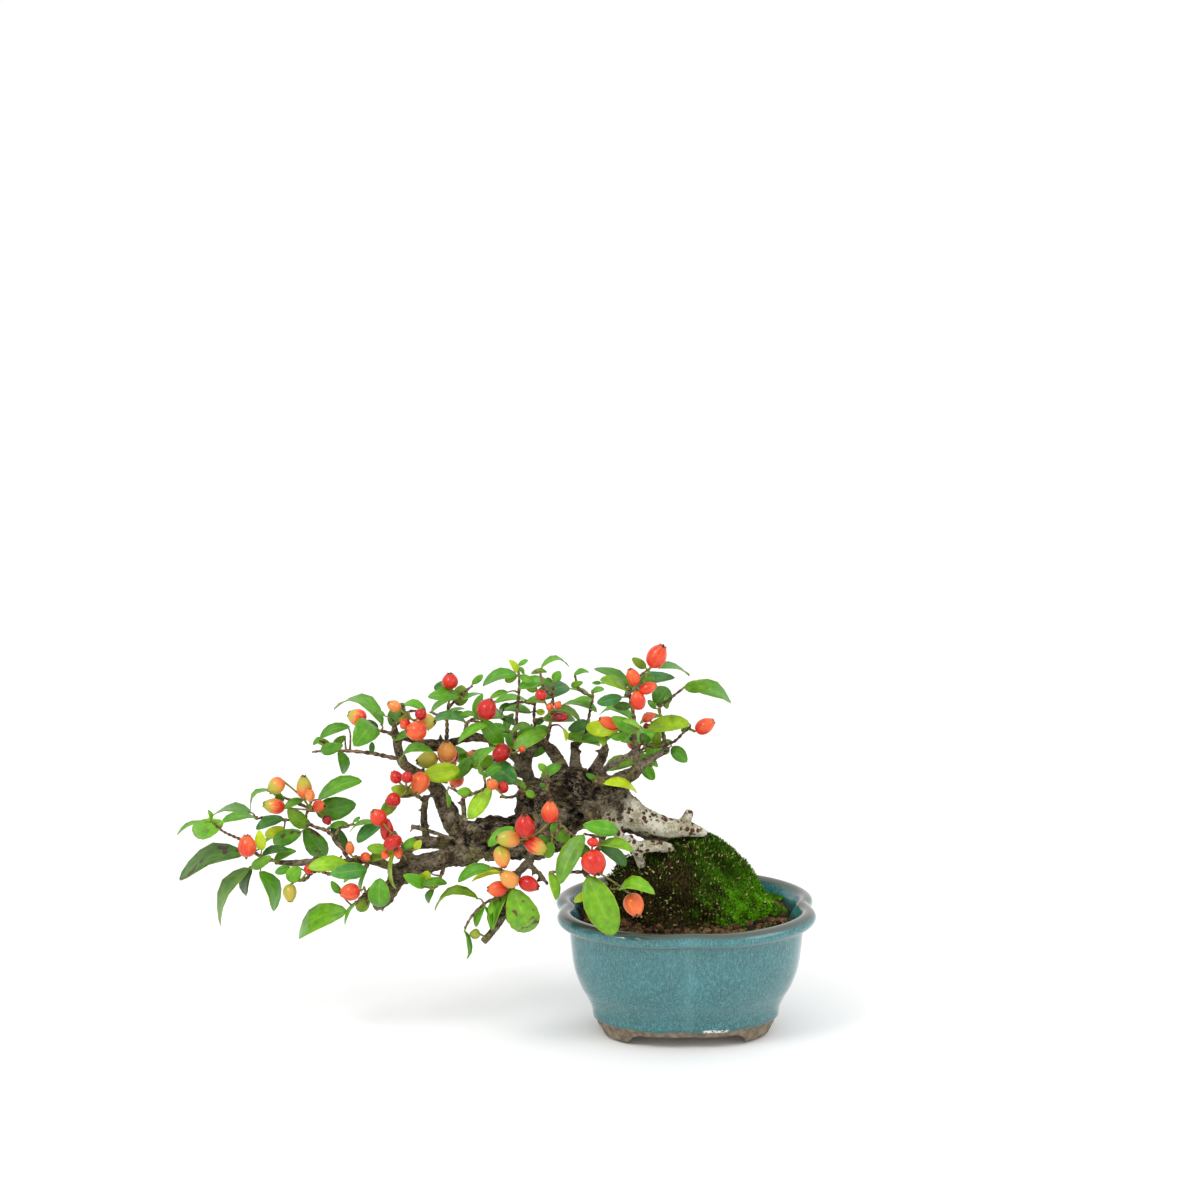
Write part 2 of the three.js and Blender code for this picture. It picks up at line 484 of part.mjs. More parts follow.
function signedVolume(places, faces) {
  const corner = (index) => new THREE.Vector3().fromArray(places, 3 * faces[index]);
  let total = 0;
  for (let index = 0; index < faces.length; index += 3) {
    total += corner(index).dot(corner(index + 1).cross(corner(index + 2)));
  }
  return total / 6;
}

function solidFrom(places, faces) {
  if (signedVolume(places, faces) < 0) {
    for (let index = 0; index < faces.length; index += 3) {
      [faces[index + 1], faces[index + 2]] = [faces[index + 2], faces[index + 1]];
    }
  }
  return new wasm.Manifold(new wasm.Mesh({
    numProp: 3, vertProperties: new Float32Array(places), triVerts: new Uint32Array(faces), tolerance: FINEST,
  }));
}

function joinAll(solids) {
  return solids.reduce((whole, solid) => whole.add(solid));
}

// The rings of a round stem through points, each with its own radius.
function stemRings(points, radii, sides, grow = 0) {
  const rings = [];
  let across = null;
  points.forEach((point, index) => {
    const before = points[Math.max(index - 1, 0)];
    const after = points[Math.min(index + 1, points.length - 1)];
    const along = after.clone().sub(before).normalize();
    if (!across) {
      const helper = Math.abs(along.z) > 0.8 ? new THREE.Vector3(0, 1, 0) : new THREE.Vector3(0, 0, 1);
      across = helper.cross(along).normalize();
    }
    across.addScaledVector(along, -across.dot(along)).normalize();
    const upward = new THREE.Vector3().crossVectors(along, across);
    const ring = [];
    for (let side = 0; side < sides; side += 1) {
      const angle = (2 * Math.PI * side) / sides;
      ring.push(point.clone()
        .addScaledVector(across, (radii[index] + grow) * Math.cos(angle))
        .addScaledVector(upward, (radii[index] + grow) * Math.sin(angle)));
    }
    rings.push(ring);
  });
  return rings;
}

const stem = (points, radii, sides, grow = 0) => loft(stemRings(points, radii, sides, grow));

const limbPoints = (limb) => limb.map(([across, down, depth]) => at(across, down, depth));
const limbRadii = (limb) => limb.map(([, , , thickness]) => (thickness * VIEW.scale) / 2);

// Everything placed so far, as small round places that later leaves and berries keep clear of.
const taken = [];
const ROOT_REACH = 2.6;
const RIM_PLACES = { level: 43.2, inset: 2.8, steps: 96, radius: 3.2 };
const TWIG_SPACING = 1.2;
const TWIG_RADIUS = { start: 0.85, branch: 0.65, end: 0.5 };

function take(owner, point, radius) {
  taken.push({ owner, point, radius });
}

function takeLimb(points, radii) {
  for (let index = 0; index + 1 < points.length; index += 1) {
    for (const part of [0, 0.33, 0.67]) {
      const radius = THREE.MathUtils.lerp(radii[index], radii[index + 1], part);
      take('wood', points[index].clone().lerp(points[index + 1], part), radius);
    }
  }
}

function takeTwig(owner, points) {
  const path = makePath(points);
  for (let run = 0; run <= path.total; run += TWIG_SPACING) take(owner, path.pointAt(run), TWIG_RADIUS.branch);
}

function takeRim() {
  const { level, inset, steps, radius } = RIM_PLACES;
  outlineRing(level, inset, steps).forEach((point) => take('pot', point, radius));
}

// The room round some places. A leaf may touch its own twig near its root.
function roomAround(places, owner, root) {
  let least = Infinity;
  for (const place of places) {
    for (const other of taken) {
      if (other.owner === owner && other.point.distanceTo(root) < ROOT_REACH) continue;
      const room = place.point.distanceTo(other.point) - place.radius - other.radius;
      if (room < least) least = room;
    }
  }
  return least;
}

// The first choice with room to spare, or else the one with the most room.
function roomiest(choices, owner, wanted, root) {
  let best = null;
  for (const choice of choices) {
    const room = roomAround(choice.places, owner, root);
    if (room >= wanted) return choice;
    if (!best || room > best.room) best = { room, choice };
  }
  return best.choice;
}

// Berries

const BERRY_STALK_SIDES = 3;
const BERRY_STALK_END = 0.3;
const STALK_CLEAR = 0.3;
const BERRY_TRIES = [0, -2.5, 2.5, -5, 5, -7.5, 7.5, -10];
const BERRY_SIDES = 5;
const BERRY_LEVELS = [[-1, 0], [-0.68, 0.74], [0.05, 1.04], [0.74, 0.7], [1, 0]];

// Where a bunch's stalk meets the nearest twig or limb, just clear of its middle.
function stalkFoot(knob) {
  const carriers = taken.filter(({ owner }) => owner === 'wood' || owner.endsWith('twig'));
  const roomTo = (place) => place.point.distanceTo(knob) - place.radius;
  const nearest = carriers.reduce((best, place) => (roomTo(place) < roomTo(best) ? place : best));
  const away = knob.clone().sub(nearest.point);
  return nearest.point.clone().add(away.setLength(Math.min(away.length(), nearest.radius + STALK_CLEAR)));
}

function settleBerries(name, bunch) {
  const knob = at(...bunch.knob);
  const berries = bunch.berries.map(([across, down, wide, tall, way]) => {
    const choices = BERRY_TRIES.map((shift) => {
      const centre = at(across, down, bunch.knob[2] + shift);
      return { centre, places: [{ point: centre, radius: (Math.min(wide, tall) * VIEW.scale) / 2 }] };
    });
    const { centre, places } = roomiest(choices, name, 0.5, knob);
    places.forEach(({ point, radius }) => take(`${name} ${across}`, point, radius));
    const angle = THREE.MathUtils.degToRad(way);
    const pointing = SIGHT.right.clone().multiplyScalar(Math.cos(angle))
      .addScaledVector(SIGHT.up, Math.sin(angle));
    const lies = Math.abs(Math.cos(angle)) > Math.SQRT1_2;
    const [length, girth] = lies ? [wide, tall] : [tall, wide];
    return { centre, pointing, length: length * VIEW.scale, girth: girth * VIEW.scale };
  });
  return { knob, foot: stalkFoot(knob), berries };
}

function berrySolid(berry, grow) {
  const side = new THREE.Vector3().crossVectors(berry.pointing, SIGHT.forward).normalize();
  const other = new THREE.Vector3().crossVectors(berry.pointing, side);
  const ringAt = (centre, radius) => Array.from({ length: BERRY_SIDES }, (unused, step) => {
    const angle = (2 * Math.PI * step) / BERRY_SIDES;
    return centre.clone().addScaledVector(side, radius * Math.cos(angle))
      .addScaledVector(other, radius * Math.sin(angle));
  });
  const rings = BERRY_LEVELS.map(([level, reach]) => {
    const centre = berry.centre.clone().addScaledVector(berry.pointing, level * (berry.length / 2 + grow));
    return ringAt(centre, reach === 0 ? 0 : reach * (berry.girth / 2) + grow);
  });
  return loft(rings);
}

// Berries on their stalks, which meet in the bunch's knob, and the stalk that carries them all.
function bunchSolid({ knob, foot, berries }, grow = 0) {
  const radii = [BERRY_STALK, BERRY_STALK];
  const stalk = (end) => stem([knob, end], radii, BERRY_STALK_SIDES, grow);
  const parts = berries.flatMap((berry) => {
    const end = berry.centre.clone().addScaledVector(berry.pointing, -berry.length * BERRY_STALK_END);
    return [berrySolid(berry, grow), stalk(end)];
  });
  if (knob.distanceTo(foot) > BERRY_STALK) parts.push(stalk(foot));
  return joinAll(parts);
}

// Leaves

const LEAN_TRIES = [0, 0.2, -0.2, 0.4, -0.4, 0.6, -0.6, 0.8, -0.8, 1, -1];
const DEPTH_TRIES = [0, 1.6, -1.6, 3.2, -3.2];
const STEEPEST_LEAN = 0.95;
const LEAF_PROFILE = [[0, 0.12], [0.36, 1], [0.74, 0.72]];
const SMALL_LEAF_PROFILE = [[0, 0.14], [0.5, 1]];
const SMALL_LEAF = 10.5;
const LEAF_ARCH = 0.1;
const LEAF_SAMPLES = [0.12, 0.32, 0.52, 0.72, 0.92];
const LEAST_FORWARD = 0.3;
const STALK_SAMPLES = [0.6, 1];

function nearestOnTwigs(twigs, across, down) {
  let best = null;
  for (const twig of twigs) {
    for (let index = 0; index + 1 < twig.length; index += 1) {
      const [start, end] = [twig[index], twig[index + 1]];
      const run = [end[0] - start[0], end[1] - start[1]];
      const along = ((across - start[0]) * run[0] + (down - start[1]) * run[1]) / (run[0] ** 2 + run[1] ** 2);
      const part = THREE.MathUtils.clamp(along, index === 0 ? 0.5 : 0, 1);
      const point = start.map((value, axis) => value + part * (end[axis] - value));
      const gap = Math.hypot(across - point[0], down - point[1]);
      if (!best || gap < best.gap) best = { gap, point };
    }
  }
  return best.point;
}

// How a leaf lies for one lean: its root on the twig, its base, its tip and the way it faces.
function leafPose(leaf, root, baseDepth, lean) {
  const [baseAcross, baseDown, tipAcross, tipDown, seen] = leaf;
  const flat = Math.hypot(tipAcross - baseAcross, tipDown - baseDown) * VIEW.scale;
  const base = at(baseAcross, baseDown, baseDepth);
  const tip = at(tipAcross, tipDown, baseDepth + flat * Math.tan(lean));
  const along = tip.clone().sub(base);
  const length = along.length();
  along.normalize();
  const width = Math.max(seen * VIEW.scale, LEAF_SHORTEST_WIDTH * length);
  const roll = Math.acos(Math.min((seen * VIEW.scale) / width, 1));
  const facing = SIGHT.forward.clone().multiplyScalar(-1);
  facing.addScaledVector(along, -facing.dot(along)).normalize();
  const turned = [roll, -roll].map((angle) => facing.clone().applyAxisAngle(along, angle));
  const normal = turned[0].z >= turned[1].z ? turned[0] : turned[1];
  const side = new THREE.Vector3().crossVectors(along, normal);
  return { root, base, tip, along, normal, side, length, width };
}

function leafPoint(pose, part) {
  const rise = LEAF_ARCH * pose.length * 4 * part * (1 - part);
  return pose.base.clone().addScaledVector(pose.along, part * pose.length).addScaledVector(pose.normal, rise);
}

function leafPlaces(pose) {
  const places = STALK_SAMPLES.map((part) => ({
    point: pose.root.clone().lerp(pose.base, part), radius: LEAF_STALK,
  }));
  for (const part of LEAF_SAMPLES) {
    const reach = 0.33 * pose.width * Math.sin(Math.PI * part);
    for (const sideways of [-reach, 0, reach]) {
      const point = leafPoint(pose, part).addScaledVector(pose.side, sideways);
      places.push({ point, radius: 0.12 * pose.width + 0.2 });
    }
  }
  return places;
}

function settleLeaf(name, leaf, twigs, draw, number) {
  const rootPoint = nearestOnTwigs(twigs, leaf[0], leaf[1]);
  const root = at(...rootPoint);
  const baseDepth = rootPoint[2] + 2.4 * (draw() - 0.5);
  const firstLean = 1.2 * (draw() - 0.5);
  const choices = LEAN_TRIES.flatMap((more) => DEPTH_TRIES.map((shift) => {
    const lean = THREE.MathUtils.clamp(firstLean + more, -STEEPEST_LEAN, STEEPEST_LEAN);
    const pose = leafPose(leaf, root, baseDepth + shift, lean);
    return { pose, places: leafPlaces(pose) };
  }));
  const { pose, places } = roomiest(choices, `${name} twig`, 0.5, root);
  places.forEach(({ point, radius }) => take(`${name} ${number}`, point, radius));
  return pose;
}

// Leaves of the far side, set in pairs along the twigs and turned away from the front.
function spareLeaves(spray, draw) {
  const leaves = [];
  for (let count = 0; count < spray.spare; count += 1) {
    const twig = spray.twigs[count % spray.twigs.length];
    const place = 1 + Math.floor(draw() * (twig.length - 1.01));
    const part = draw();
    const [from, to] = [twig[place - 1], twig[place]];
    const across = from[0] + part * (to[0] - from[0]);
    const down = from[1] + part * (to[1] - from[1]);
    const way = 2 * Math.PI * ((count * 0.382) % 1) + 0.8 * draw();
    const reach = 22 + 12 * draw();
    leaves.push([across, down, across + reach * Math.cos(way), down - 0.7 * reach * Math.sin(way),
      0.3 * reach + 6 * draw()]);
  }
  return leaves;
}

// A leaf's rings of four corners, from the foot of its blade to its tip.
function leafRings(pose, grow = 0) {
  const half = LEAF_THICK / 2 + grow;
  const corners = (centre, reach) => [[1, 1], [-1, 1], [-1, -1], [1, -1]].map(([sideways, out]) => (
    centre.clone().addScaledVector(pose.side, sideways * reach).addScaledVector(pose.normal, out * half)));
  const profile = pose.length < SMALL_LEAF ? SMALL_LEAF_PROFILE : LEAF_PROFILE;
  const rings = profile.map(([part, reach]) => (
    corners(leafPoint(pose, part), Math.max(LEAF_STALK, (reach * pose.width) / 2) + grow)));
  rings.push(corners(pose.tip.clone().addScaledVector(pose.along, grow), 0));
  return rings;
}

// A leaf on its own, with its stalk. A stalk that doubles back under the blade is a stem of its own.
function leafSolid(pose, grow) {
  const stalk = pose.base.clone().sub(pose.root);
  if (stalk.dot(pose.along) < LEAST_FORWARD * stalk.length()) {
    const end = pose.base.clone().addScaledVector(pose.along, 2 * LEAF_STALK);
    return loft(leafRings(pose, grow)).add(stem([pose.root, end], [LEAF_STALK, LEAF_STALK], 3, grow));
  }
  const foot = [[1, 1], [-1, 1], [-1, -1], [1, -1]].map(([sideways, out]) => (
    pose.root.clone().addScaledVector(pose.side, sideways * (LEAF_STALK + grow))
      .addScaledVector(pose.normal, out * (LEAF_STALK + grow))));
  return loft([foot, ...leafRings(pose, grow)]);
}

// Twigs

const TWIG_SIDES = 3;
const SLOT = 0.9;
const FACE_CLEAR = 0.12;
const SHARP_BEND = Math.cos(THREE.MathUtils.degToRad(35));
const BEND_CLEAR = 1.3;
const LEAST_TURN = 0.3;
const LEAST_IN_LINE = 0.55;
const LEAST_SCORE = -0.8;

function twigRadius(twigIndex, part) {
  const start = twigIndex === 0 ? TWIG_RADIUS.start : TWIG_RADIUS.branch;
  return THREE.MathUtils.lerp(start, TWIG_RADIUS.end, part);
}

function makePath(points) {
  const lengths = [0];
  points.slice(1).forEach((point, index) => lengths.push(lengths[index] + point.distanceTo(points[index])));
  const total = lengths[lengths.length - 1];
  const pointAt = (run) => {
    const index = Math.max(1, lengths.findIndex((length) => length >= Math.min(run, total)));
    const part = (run - lengths[index - 1]) / (lengths[index] - lengths[index - 1]);
    return points[index - 1].clone().lerp(points[index], part);
  };
  return { lengths, total, pointAt };
}

function runNearest(path, point) {
  let best = { gap: Infinity, run: 0 };
  for (let run = 0; run <= path.total; run += SLOT / 3) {
    const gap = path.pointAt(run).distanceTo(point);
    if (gap < best.gap) best = { gap, run };
  }
  return best;
}

// The four rings of a leaf turned so that they follow on from the face that it grows out of.
function followOn(face, outward, rings, along) {
  const spread = (ring, shift) => face.reduce((sum, corner, index) => (
    sum + corner.distanceToSquared(ring[(index + shift) % 4])), 0);
  const winding = (ring, way) => new THREE.Vector3()
    .crossVectors(ring[1].clone().sub(ring[0]), ring[2].clone().sub(ring[0])).dot(way);
  const flips = winding(face, outward) * winding(rings[0], along) < 0;
  const turned = flips ? rings.map((ring) => [...ring].reverse()) : rings;
  const shift = [0, 1, 2, 3].reduce((best, next) => (
    spread(turned[0], next) < spread(turned[0], best) ? next : best), 0);
  return turned.map((ring) => ring.map((corner, index) => ring[(index + shift) % 4]));
}

// How far along a twig its sharp bends lie.
function sharpBends(points, path) {
  return path.lengths.filter((length, index) => {
    if (index === 0 || index === points.length - 1) return false;
    const into = points[index].clone().sub(points[index - 1]).normalize();
    return into.dot(points[index + 1].clone().sub(points[index]).normalize()) < SHARP_BEND;
  });
}

// Gives each leaf a slot along the twig and one of its faces, sharing slots where that is near.
function shareSlots(path, runs, rings, poses, bends) {
  const slots = runs.length - 1;
  const nearBend = (run) => bends.some((bend) => Math.abs(bend - run) < BEND_CLEAR);
  const used = new Map();
  const faceOf = (slot, side) => {
    const [low, high] = [rings[slot], rings[slot + 1]];
    const next = (side + 1) % TWIG_SIDES;
    return [low[side], low[next], high[next], high[side]];
  };
  const late = [];
  for (const pose of poses) {
    const wanted = runNearest(path, pose.root).run / SLOT - 0.5;
    let best = null;
    for (let slot = slots > 1 ? 1 : 0; slot < slots; slot += 1) {
      if (nearBend(runs[slot]) || nearBend(runs[slot + 1])) continue;
      for (let side = 0; side < TWIG_SIDES; side += 1) {
        if (used.get(slot)?.has(side)) continue;
        const face = faceOf(slot, side);
        const middle = centreOf(face);
        const outward = middle.clone().sub(path.pointAt((slot + 0.5) * SLOT)).normalize();
        const toBase = pose.base.clone().sub(middle).normalize();
        const score = outward.dot(toBase) - 0.22 * Math.abs(slot - wanted) + (used.has(slot) ? 0.15 : 0);
        const faces = outward.dot(toBase) > LEAST_TURN && pose.along.dot(toBase) > LEAST_FORWARD;
        if (faces && (!best || score > best.score)) best = { score, slot, side, face, outward };
      }
    }
    if (!best || best.score < LEAST_SCORE) {
      late.push(pose);
      continue;
    }
    if (!used.has(best.slot)) used.set(best.slot, new Map());
    used.get(best.slot).set(best.side, { pose, face: best.face, outward: best.outward });
  }
  return { used, late };
}

function centreOf(ring) {
  return ring.reduce((sum, corner) => sum.add(corner), new THREE.Vector3()).divideScalar(ring.length);
}

// Whether the corners of two rings lie the same way round the line between their centres.
function inLine(face, ring) {
  const [from, to] = [centreOf(face), centreOf(ring)];
  const way = to.clone().sub(from).normalize();
  const across = (corner, centre) => {
    const reach = corner.clone().sub(centre);
    return reach.addScaledVector(way, -reach.dot(way)).normalize();
  };
  return face.every((corner, index) => across(corner, from).dot(across(ring[index], to)) > LEAST_IN_LINE);
}

// Takes the leaves that would cross their twig or one another out of their slots.
function clearSlots({ used, late }, bare) {
  const solids = [bare];
  const isClear = ({ pose, face, outward }) => {
    const rings = followOn(face, outward, leafRings(pose), pose.along);
    if (!inLine(face, rings[0])) return false;
    const foot = face.map((corner, index) => corner.clone().lerp(rings[0][index], FACE_CLEAR));
    const leaf = loft([foot, ...rings]);
    if (solids.some((other) => meets(leaf, other))) return false;
    solids.push(leaf);
    return true;
  };
  for (const [slot, sides] of used) {
    for (const [side, entry] of sides) {
      if (isClear(entry)) continue;
      sides.delete(side);
      late.push(entry.pose);
    }
    if (sides.size === 0) used.delete(slot);
  }
}

// A twig whose leaves grow out of its faces as one skin.
function leafyTwig(points, twigIndex, poses) {
  const path = makePath(points);
  const slots = Math.max(1, Math.floor((path.total - 0.3) / SLOT));
  const runs = Array.from({ length: slots + 1 }, (unused, index) => index * SLOT);
  path.lengths.slice(1, -1).forEach((length) => {
    runs[THREE.MathUtils.clamp(Math.round(length / SLOT), 1, slots)] = length;
  });
  runs[slots] = path.total;
  const stations = runs.map((run) => path.pointAt(run));
  const radii = runs.map((run) => twigRadius(twigIndex, run / path.total));
  const rings = stemRings(stations, radii, TWIG_SIDES);
  const { used, late } = shareSlots(path, runs, rings, poses, sharpBends(points, path));
  if (used.size > 0) clearSlots({ used, late }, leafyTwig(points, twigIndex, []).solid);

  const isBend = (index) => path.lengths.includes(runs[index]);
  const kept = runs.map((run, index) => index).filter((index) => (
    index === 0 || index === runs.length - 1 || used.has(index) || used.has(index - 1) || isBend(index)));
  const skin = makeSkin();
  skin.cap([...rings[0]].reverse());
  kept.slice(1).forEach((index, order) => {
    const before = kept[order];
    const leafy = index === before + 1 ? used.get(before) : undefined;
    skin.bridge(rings[before], rings[index], (side) => Boolean(leafy?.has(side)));
    leafy?.forEach(({ pose, face, outward }) => {
      const leaf = followOn(face, outward, leafRings(pose), pose.along);
      skin.bridge(face, leaf[0]);
      leaf.slice(1).forEach((ring, row) => skin.bridge(leaf[row], ring));
      skin.cap(leaf[leaf.length - 1]);
    });
  });
  skin.cap(rings[rings.length - 1]);
  return { solid: skin.solid(), late };
}

function meets(one, other) {
  return overlaps(one, other) && one.intersect(other).volume() > 0;
}

// Leaves that cross nothing grow as one skin with their twig; the others are joined on afterwards.
function spraySolid(spray, poses) {
  const twigs = spray.twigs.map(limbPoints);
  const paths = twigs.map(makePath);
  const grown = twigs.map(() => []);
  for (const pose of poses) {
    const gaps = paths.map((path) => runNearest(path, pose.root).gap);
    grown[gaps.indexOf(Math.min(...gaps))].push(pose);
  }
  const parts = twigs.map((points, index) => leafyTwig(points, index, grown[index]));
  const joined = parts.flatMap(({ late }) => late);
  return joinAll([...parts.map(({ solid }) => solid), ...joined.map((pose) => leafSolid(pose, 0))]);
}

// The room that a spray takes up, a little larger than itself.
function sprayRoom(spray, poses) {
  const twigs = spray.twigs.map(limbPoints).map((points, index) => (
    stem(points, points.map((point, order) => twigRadius(index, order / (points.length - 1))), TWIG_SIDES, GAP)));
  return joinAll([...twigs, ...poses.map((pose) => leafSolid(pose, GAP))]);
}

// Wood

function woodSolid(grow = 0) {
  return joinAll(Object.entries(LIMBS).map(([name, limb]) => (
    stem(limbPoints(limb), limbRadii(limb), LIMB_SIDES[name] ?? THIN_LIMB_SIDES, grow))));
}

// Pot, soil and moss

function boxSolid(low, high) {
  const ring = (level) => [[low[0], low[1]], [high[0], low[1]], [high[0], high[1]], [low[0], high[1]]]
    .map(([x, y]) => new THREE.Vector3(x, y, level));
  return loft([ring(low[2]), ring(high[2])]);
}

// A passage under the pot between its feet, with rounded upper corners.
function footArch(half, reach, alongX) {
  const { height, corner } = FOOT_ARCH;
  const section = [[-half, -1], [half, -1], [half, height - corner], [half - corner, height],
    [-half + corner, height], [-half, height - corner]];
  const ring = (place) => section.map(([sideways, level]) => (
    alongX ? new THREE.Vector3(place, sideways, level) : new THREE.Vector3(sideways, place, level)));
  return loft([ring(-reach), ring(reach)]);
}

function drainHole() {
  const ring = (level) => Array.from({ length: 16 }, (unused, step) => {
    const angle = (2 * Math.PI * step) / 16;
    return new THREE.Vector3(DRAIN_RADIUS * Math.cos(angle), DRAIN_RADIUS * Math.sin(angle), level);
  });
  return loft([ring(-1), ring(FLOOR_TOP + 1)]);
}

function potSolid() {
  const rings = [...POT_OUTSIDE, ...POT_INSIDE].map(([level, inset]) => outlineRing(level, inset));
  return loft(rings)
    .subtract(footArch(FOOT_ARCH.frontHalf, POT_HALF_DEPTH + 2, false))
    .subtract(footArch(FOOT_ARCH.sideHalf, POT_HALF_WIDTH + 2, true))
    .subtract(drainHole());
}

function innerInset(level) {
  const inside = [...POT_INSIDE].reverse();
  const upper = inside.findIndex(([height]) => height >= level);
  const [low, high] = [inside[Math.max(upper - 1, 0)], inside[Math.max(upper, 1)]];
  const part = (level - low[0]) / (high[0] - low[0]);
  return THREE.MathUtils.lerp(low[1], high[1], part);
}

function soilSolid(mound, mesh) {
  const rings = [FLOOR_TOP + GAP, 16, 26, SOIL_LEVEL - 0.6].map((level) => (
    outlineRing(level, innerInset(level) + GAP)));
  const edge = rings[rings.length - 1];
  for (const inward of [0.84, 0.5]) {
    rings.push(edge.map((point, index) => new THREE.Vector3(
      point.x * inward, point.y * inward, SOIL_LEVEL + 0.7 * Math.sin(index * 2.1 + 9 * inward))));
  }
  rings.push(edge.map(() => new THREE.Vector3(0, 0, SOIL_LEVEL)));
  return loft(rings).subtract(mound).subtract(mesh);
}

function moundSolid(grow = 0) {
  const rings = MOUND_LEVELS.map(([level, left, right, front, back], row) => {
    const ring = [];
    for (let step = 0; step < MOUND_STEPS; step += 1) {
      const angle = (2 * Math.PI * step) / MOUND_STEPS;
      const lump = 1 + 0.05 * Math.sin(3 * angle + row * 1.7) + 0.035 * Math.sin(7 * angle + row * 2.3);
      const reachX = (Math.cos(angle) > 0 ? right - MOUND_TOP.x : left + MOUND_TOP.x) * lump + grow;
      const reachY = (Math.sin(angle) > 0 ? back - MOUND_TOP.y : front + MOUND_TOP.y) * lump + grow;
      const low = row === 0 ? -grow : grow;
      ring.push(new THREE.Vector3(
        MOUND_TOP.x + reachX * Math.cos(angle), MOUND_TOP.y + reachY * Math.sin(angle), level + low));
    }
    return ring;
  });
  rings.push(rings[0].map(() => new THREE.Vector3(MOUND_TOP.x, MOUND_TOP.y, MOUND_TOP.z + grow)));
  return loft(rings);
}

function meshSolid() {
  const half = MESH_SIDE / 2;
  let plate = boxSolid([-half, -half, FLOOR_TOP + GAP], [half, half, FLOOR_TOP + GAP + MESH_THICK]);
  for (const across of MESH_ROWS) {
    for (const along of MESH_ROWS) {
      const [x, y] = [across * MESH_PITCH, along * MESH_PITCH];
      plate = plate.subtract(boxSolid([x - MESH_HOLE / 2, y - MESH_HOLE / 2, FLOOR_TOP],
        [x + MESH_HOLE / 2, y + MESH_HOLE / 2, FLOOR_TOP + 2 * MESH_THICK]));
    }
  }
  return plate;
}

function meshRoom() {
  const half = MESH_SIDE / 2 + GAP;
  return boxSolid([-half, -half, FLOOR_TOP - 1], [half, half, FLOOR_TOP + 2 * GAP + MESH_THICK]);
}

// Assembly

function overlaps(one, other) {
  const [a, b] = [one.boundingBox(), other.boundingBox()];
  return [0, 1, 2].every((axis) => a.min[axis] <= b.max[axis] && b.min[axis] <= a.max[axis]);
}

function cutClear(solid, rooms) {
  return rooms.reduce((left, room) => (overlaps(left, room) ? left.subtract(room) : left), solid);
}

// The largest piece, so that a scrap cut loose by a neighbour is dropped.
function mainPiece(solid) {
  return solid.decompose().reduce((best, piece) => (piece.volume() > best.volume() ? piece : best));
}

const FINISHES = {
  glaze: { color: 0x4f8a8c, roughness: 0.25, metalness: 0 },
  soil: { color: 0x3a2a1e, roughness: 1, metalness: 0 },
  moss: { color: 0x46581f, roughness: 1, metalness: 0 },
  plastic: { color: 0x202020, roughness: 0.6, metalness: 0 },
  bark: { color: 0x7a6a58, roughness: 0.85, metalness: 0 },
  leaf: { color: 0x5f9a3c, roughness: 0.45, metalness: 0 },
  berry: { color: 0xd8452b, roughness: 0.3, metalness: 0 },
};

const bonsai = new THREE.Group();

function addPiece(name, solid, finish) {
  const { vertProperties, triVerts } = solid.simplify(SHORTEST_EDGE).getMesh();
  const geometry = new THREE.BufferGeometry();
  geometry.setAttribute('position', new THREE.BufferAttribute(new Float32Array(vertProperties), 3));
  geometry.setIndex(new THREE.BufferAttribute(new Uint32Array(triVerts), 1));
  geometry.computeVertexNormals();
  const mesh = new THREE.Mesh(geometry, new THREE.MeshStandardMaterial(FINISHES[finish]));
  mesh.name = name;
  bonsai.add(mesh);
}

function growTree() {
  const rooms = [];
  takeRim();
  Object.values(LIMBS).forEach((limb) => takeLimb(limbPoints(limb), limbRadii(limb)));
  const wood = woodSolid();
  addPiece('tree_wood', wood, 'bark');
  rooms.push(woodSolid(GAP));

  const sprays = Object.entries(SPRAYS).map(([name, spray]) => {
    spray.twigs.forEach((twig) => takeTwig(`${name} twig`, limbPoints(twig)));
    return { name, spray };
  });
  const bunches = Object.entries(BUNCHES).map(([name, bunch]) => ({ name, bunch: settleBerries(name, bunch) }));
  sprays.forEach((entry, order) => {
    const draw = makeDraw(SEED + 101 * order);
    const leaves = [...entry.spray.leaves, ...spareLeaves(entry.spray, draw)];
    entry.poses = leaves.map((leaf, number) => settleLeaf(entry.name, leaf, entry.spray.twigs, draw, number));
  });

  const trees = [];
  for (const { name, bunch } of bunches) {
    trees.push({ name, finish: 'berry', solid: bunchSolid(bunch), room: bunchSolid(bunch, GAP) });
  }
  for (const { name, spray, poses } of sprays) {
    trees.push({ name, finish: 'leaf', solid: spraySolid(spray, poses), room: sprayRoom(spray, poses) });
  }
  for (const { name, finish, solid, room } of trees) {
    const clear = mainPiece(cutClear(solid, rooms));
    addPiece(name, clear, finish);
    rooms.push(room);
  }
  return rooms;
}

const growth = growTree();
addPiece('moss_mound', mainPiece(cutClear(moundSolid(), growth)), 'moss');
addPiece('soil', mainPiece(cutClear(soilSolid(moundSolid(GAP), meshRoom()), growth)), 'soil');
addPiece('drain_mesh', meshSolid(), 'plastic');
addPiece('pot', potSolid(), 'glaze');

const bounds = new THREE.Box3().setFromObject(bonsai);
const middle = bounds.getCenter(new THREE.Vector3());
bonsai.position.set(-middle.x, -middle.y, -bounds.min.z);
bonsai.updateMatrixWorld(true);

export default bonsai;
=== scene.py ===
"""A wall cotoneaster bonsai in its glazed, lobed pot, modelled finely over its CAD frame.

The tables hold points of a front view of 1200 x 1200 points, each with a depth in mm.
"""
import logging
import math
from collections.abc import Callable, Iterator
from contextlib import contextmanager
from dataclasses import dataclass, field
from enum import Enum

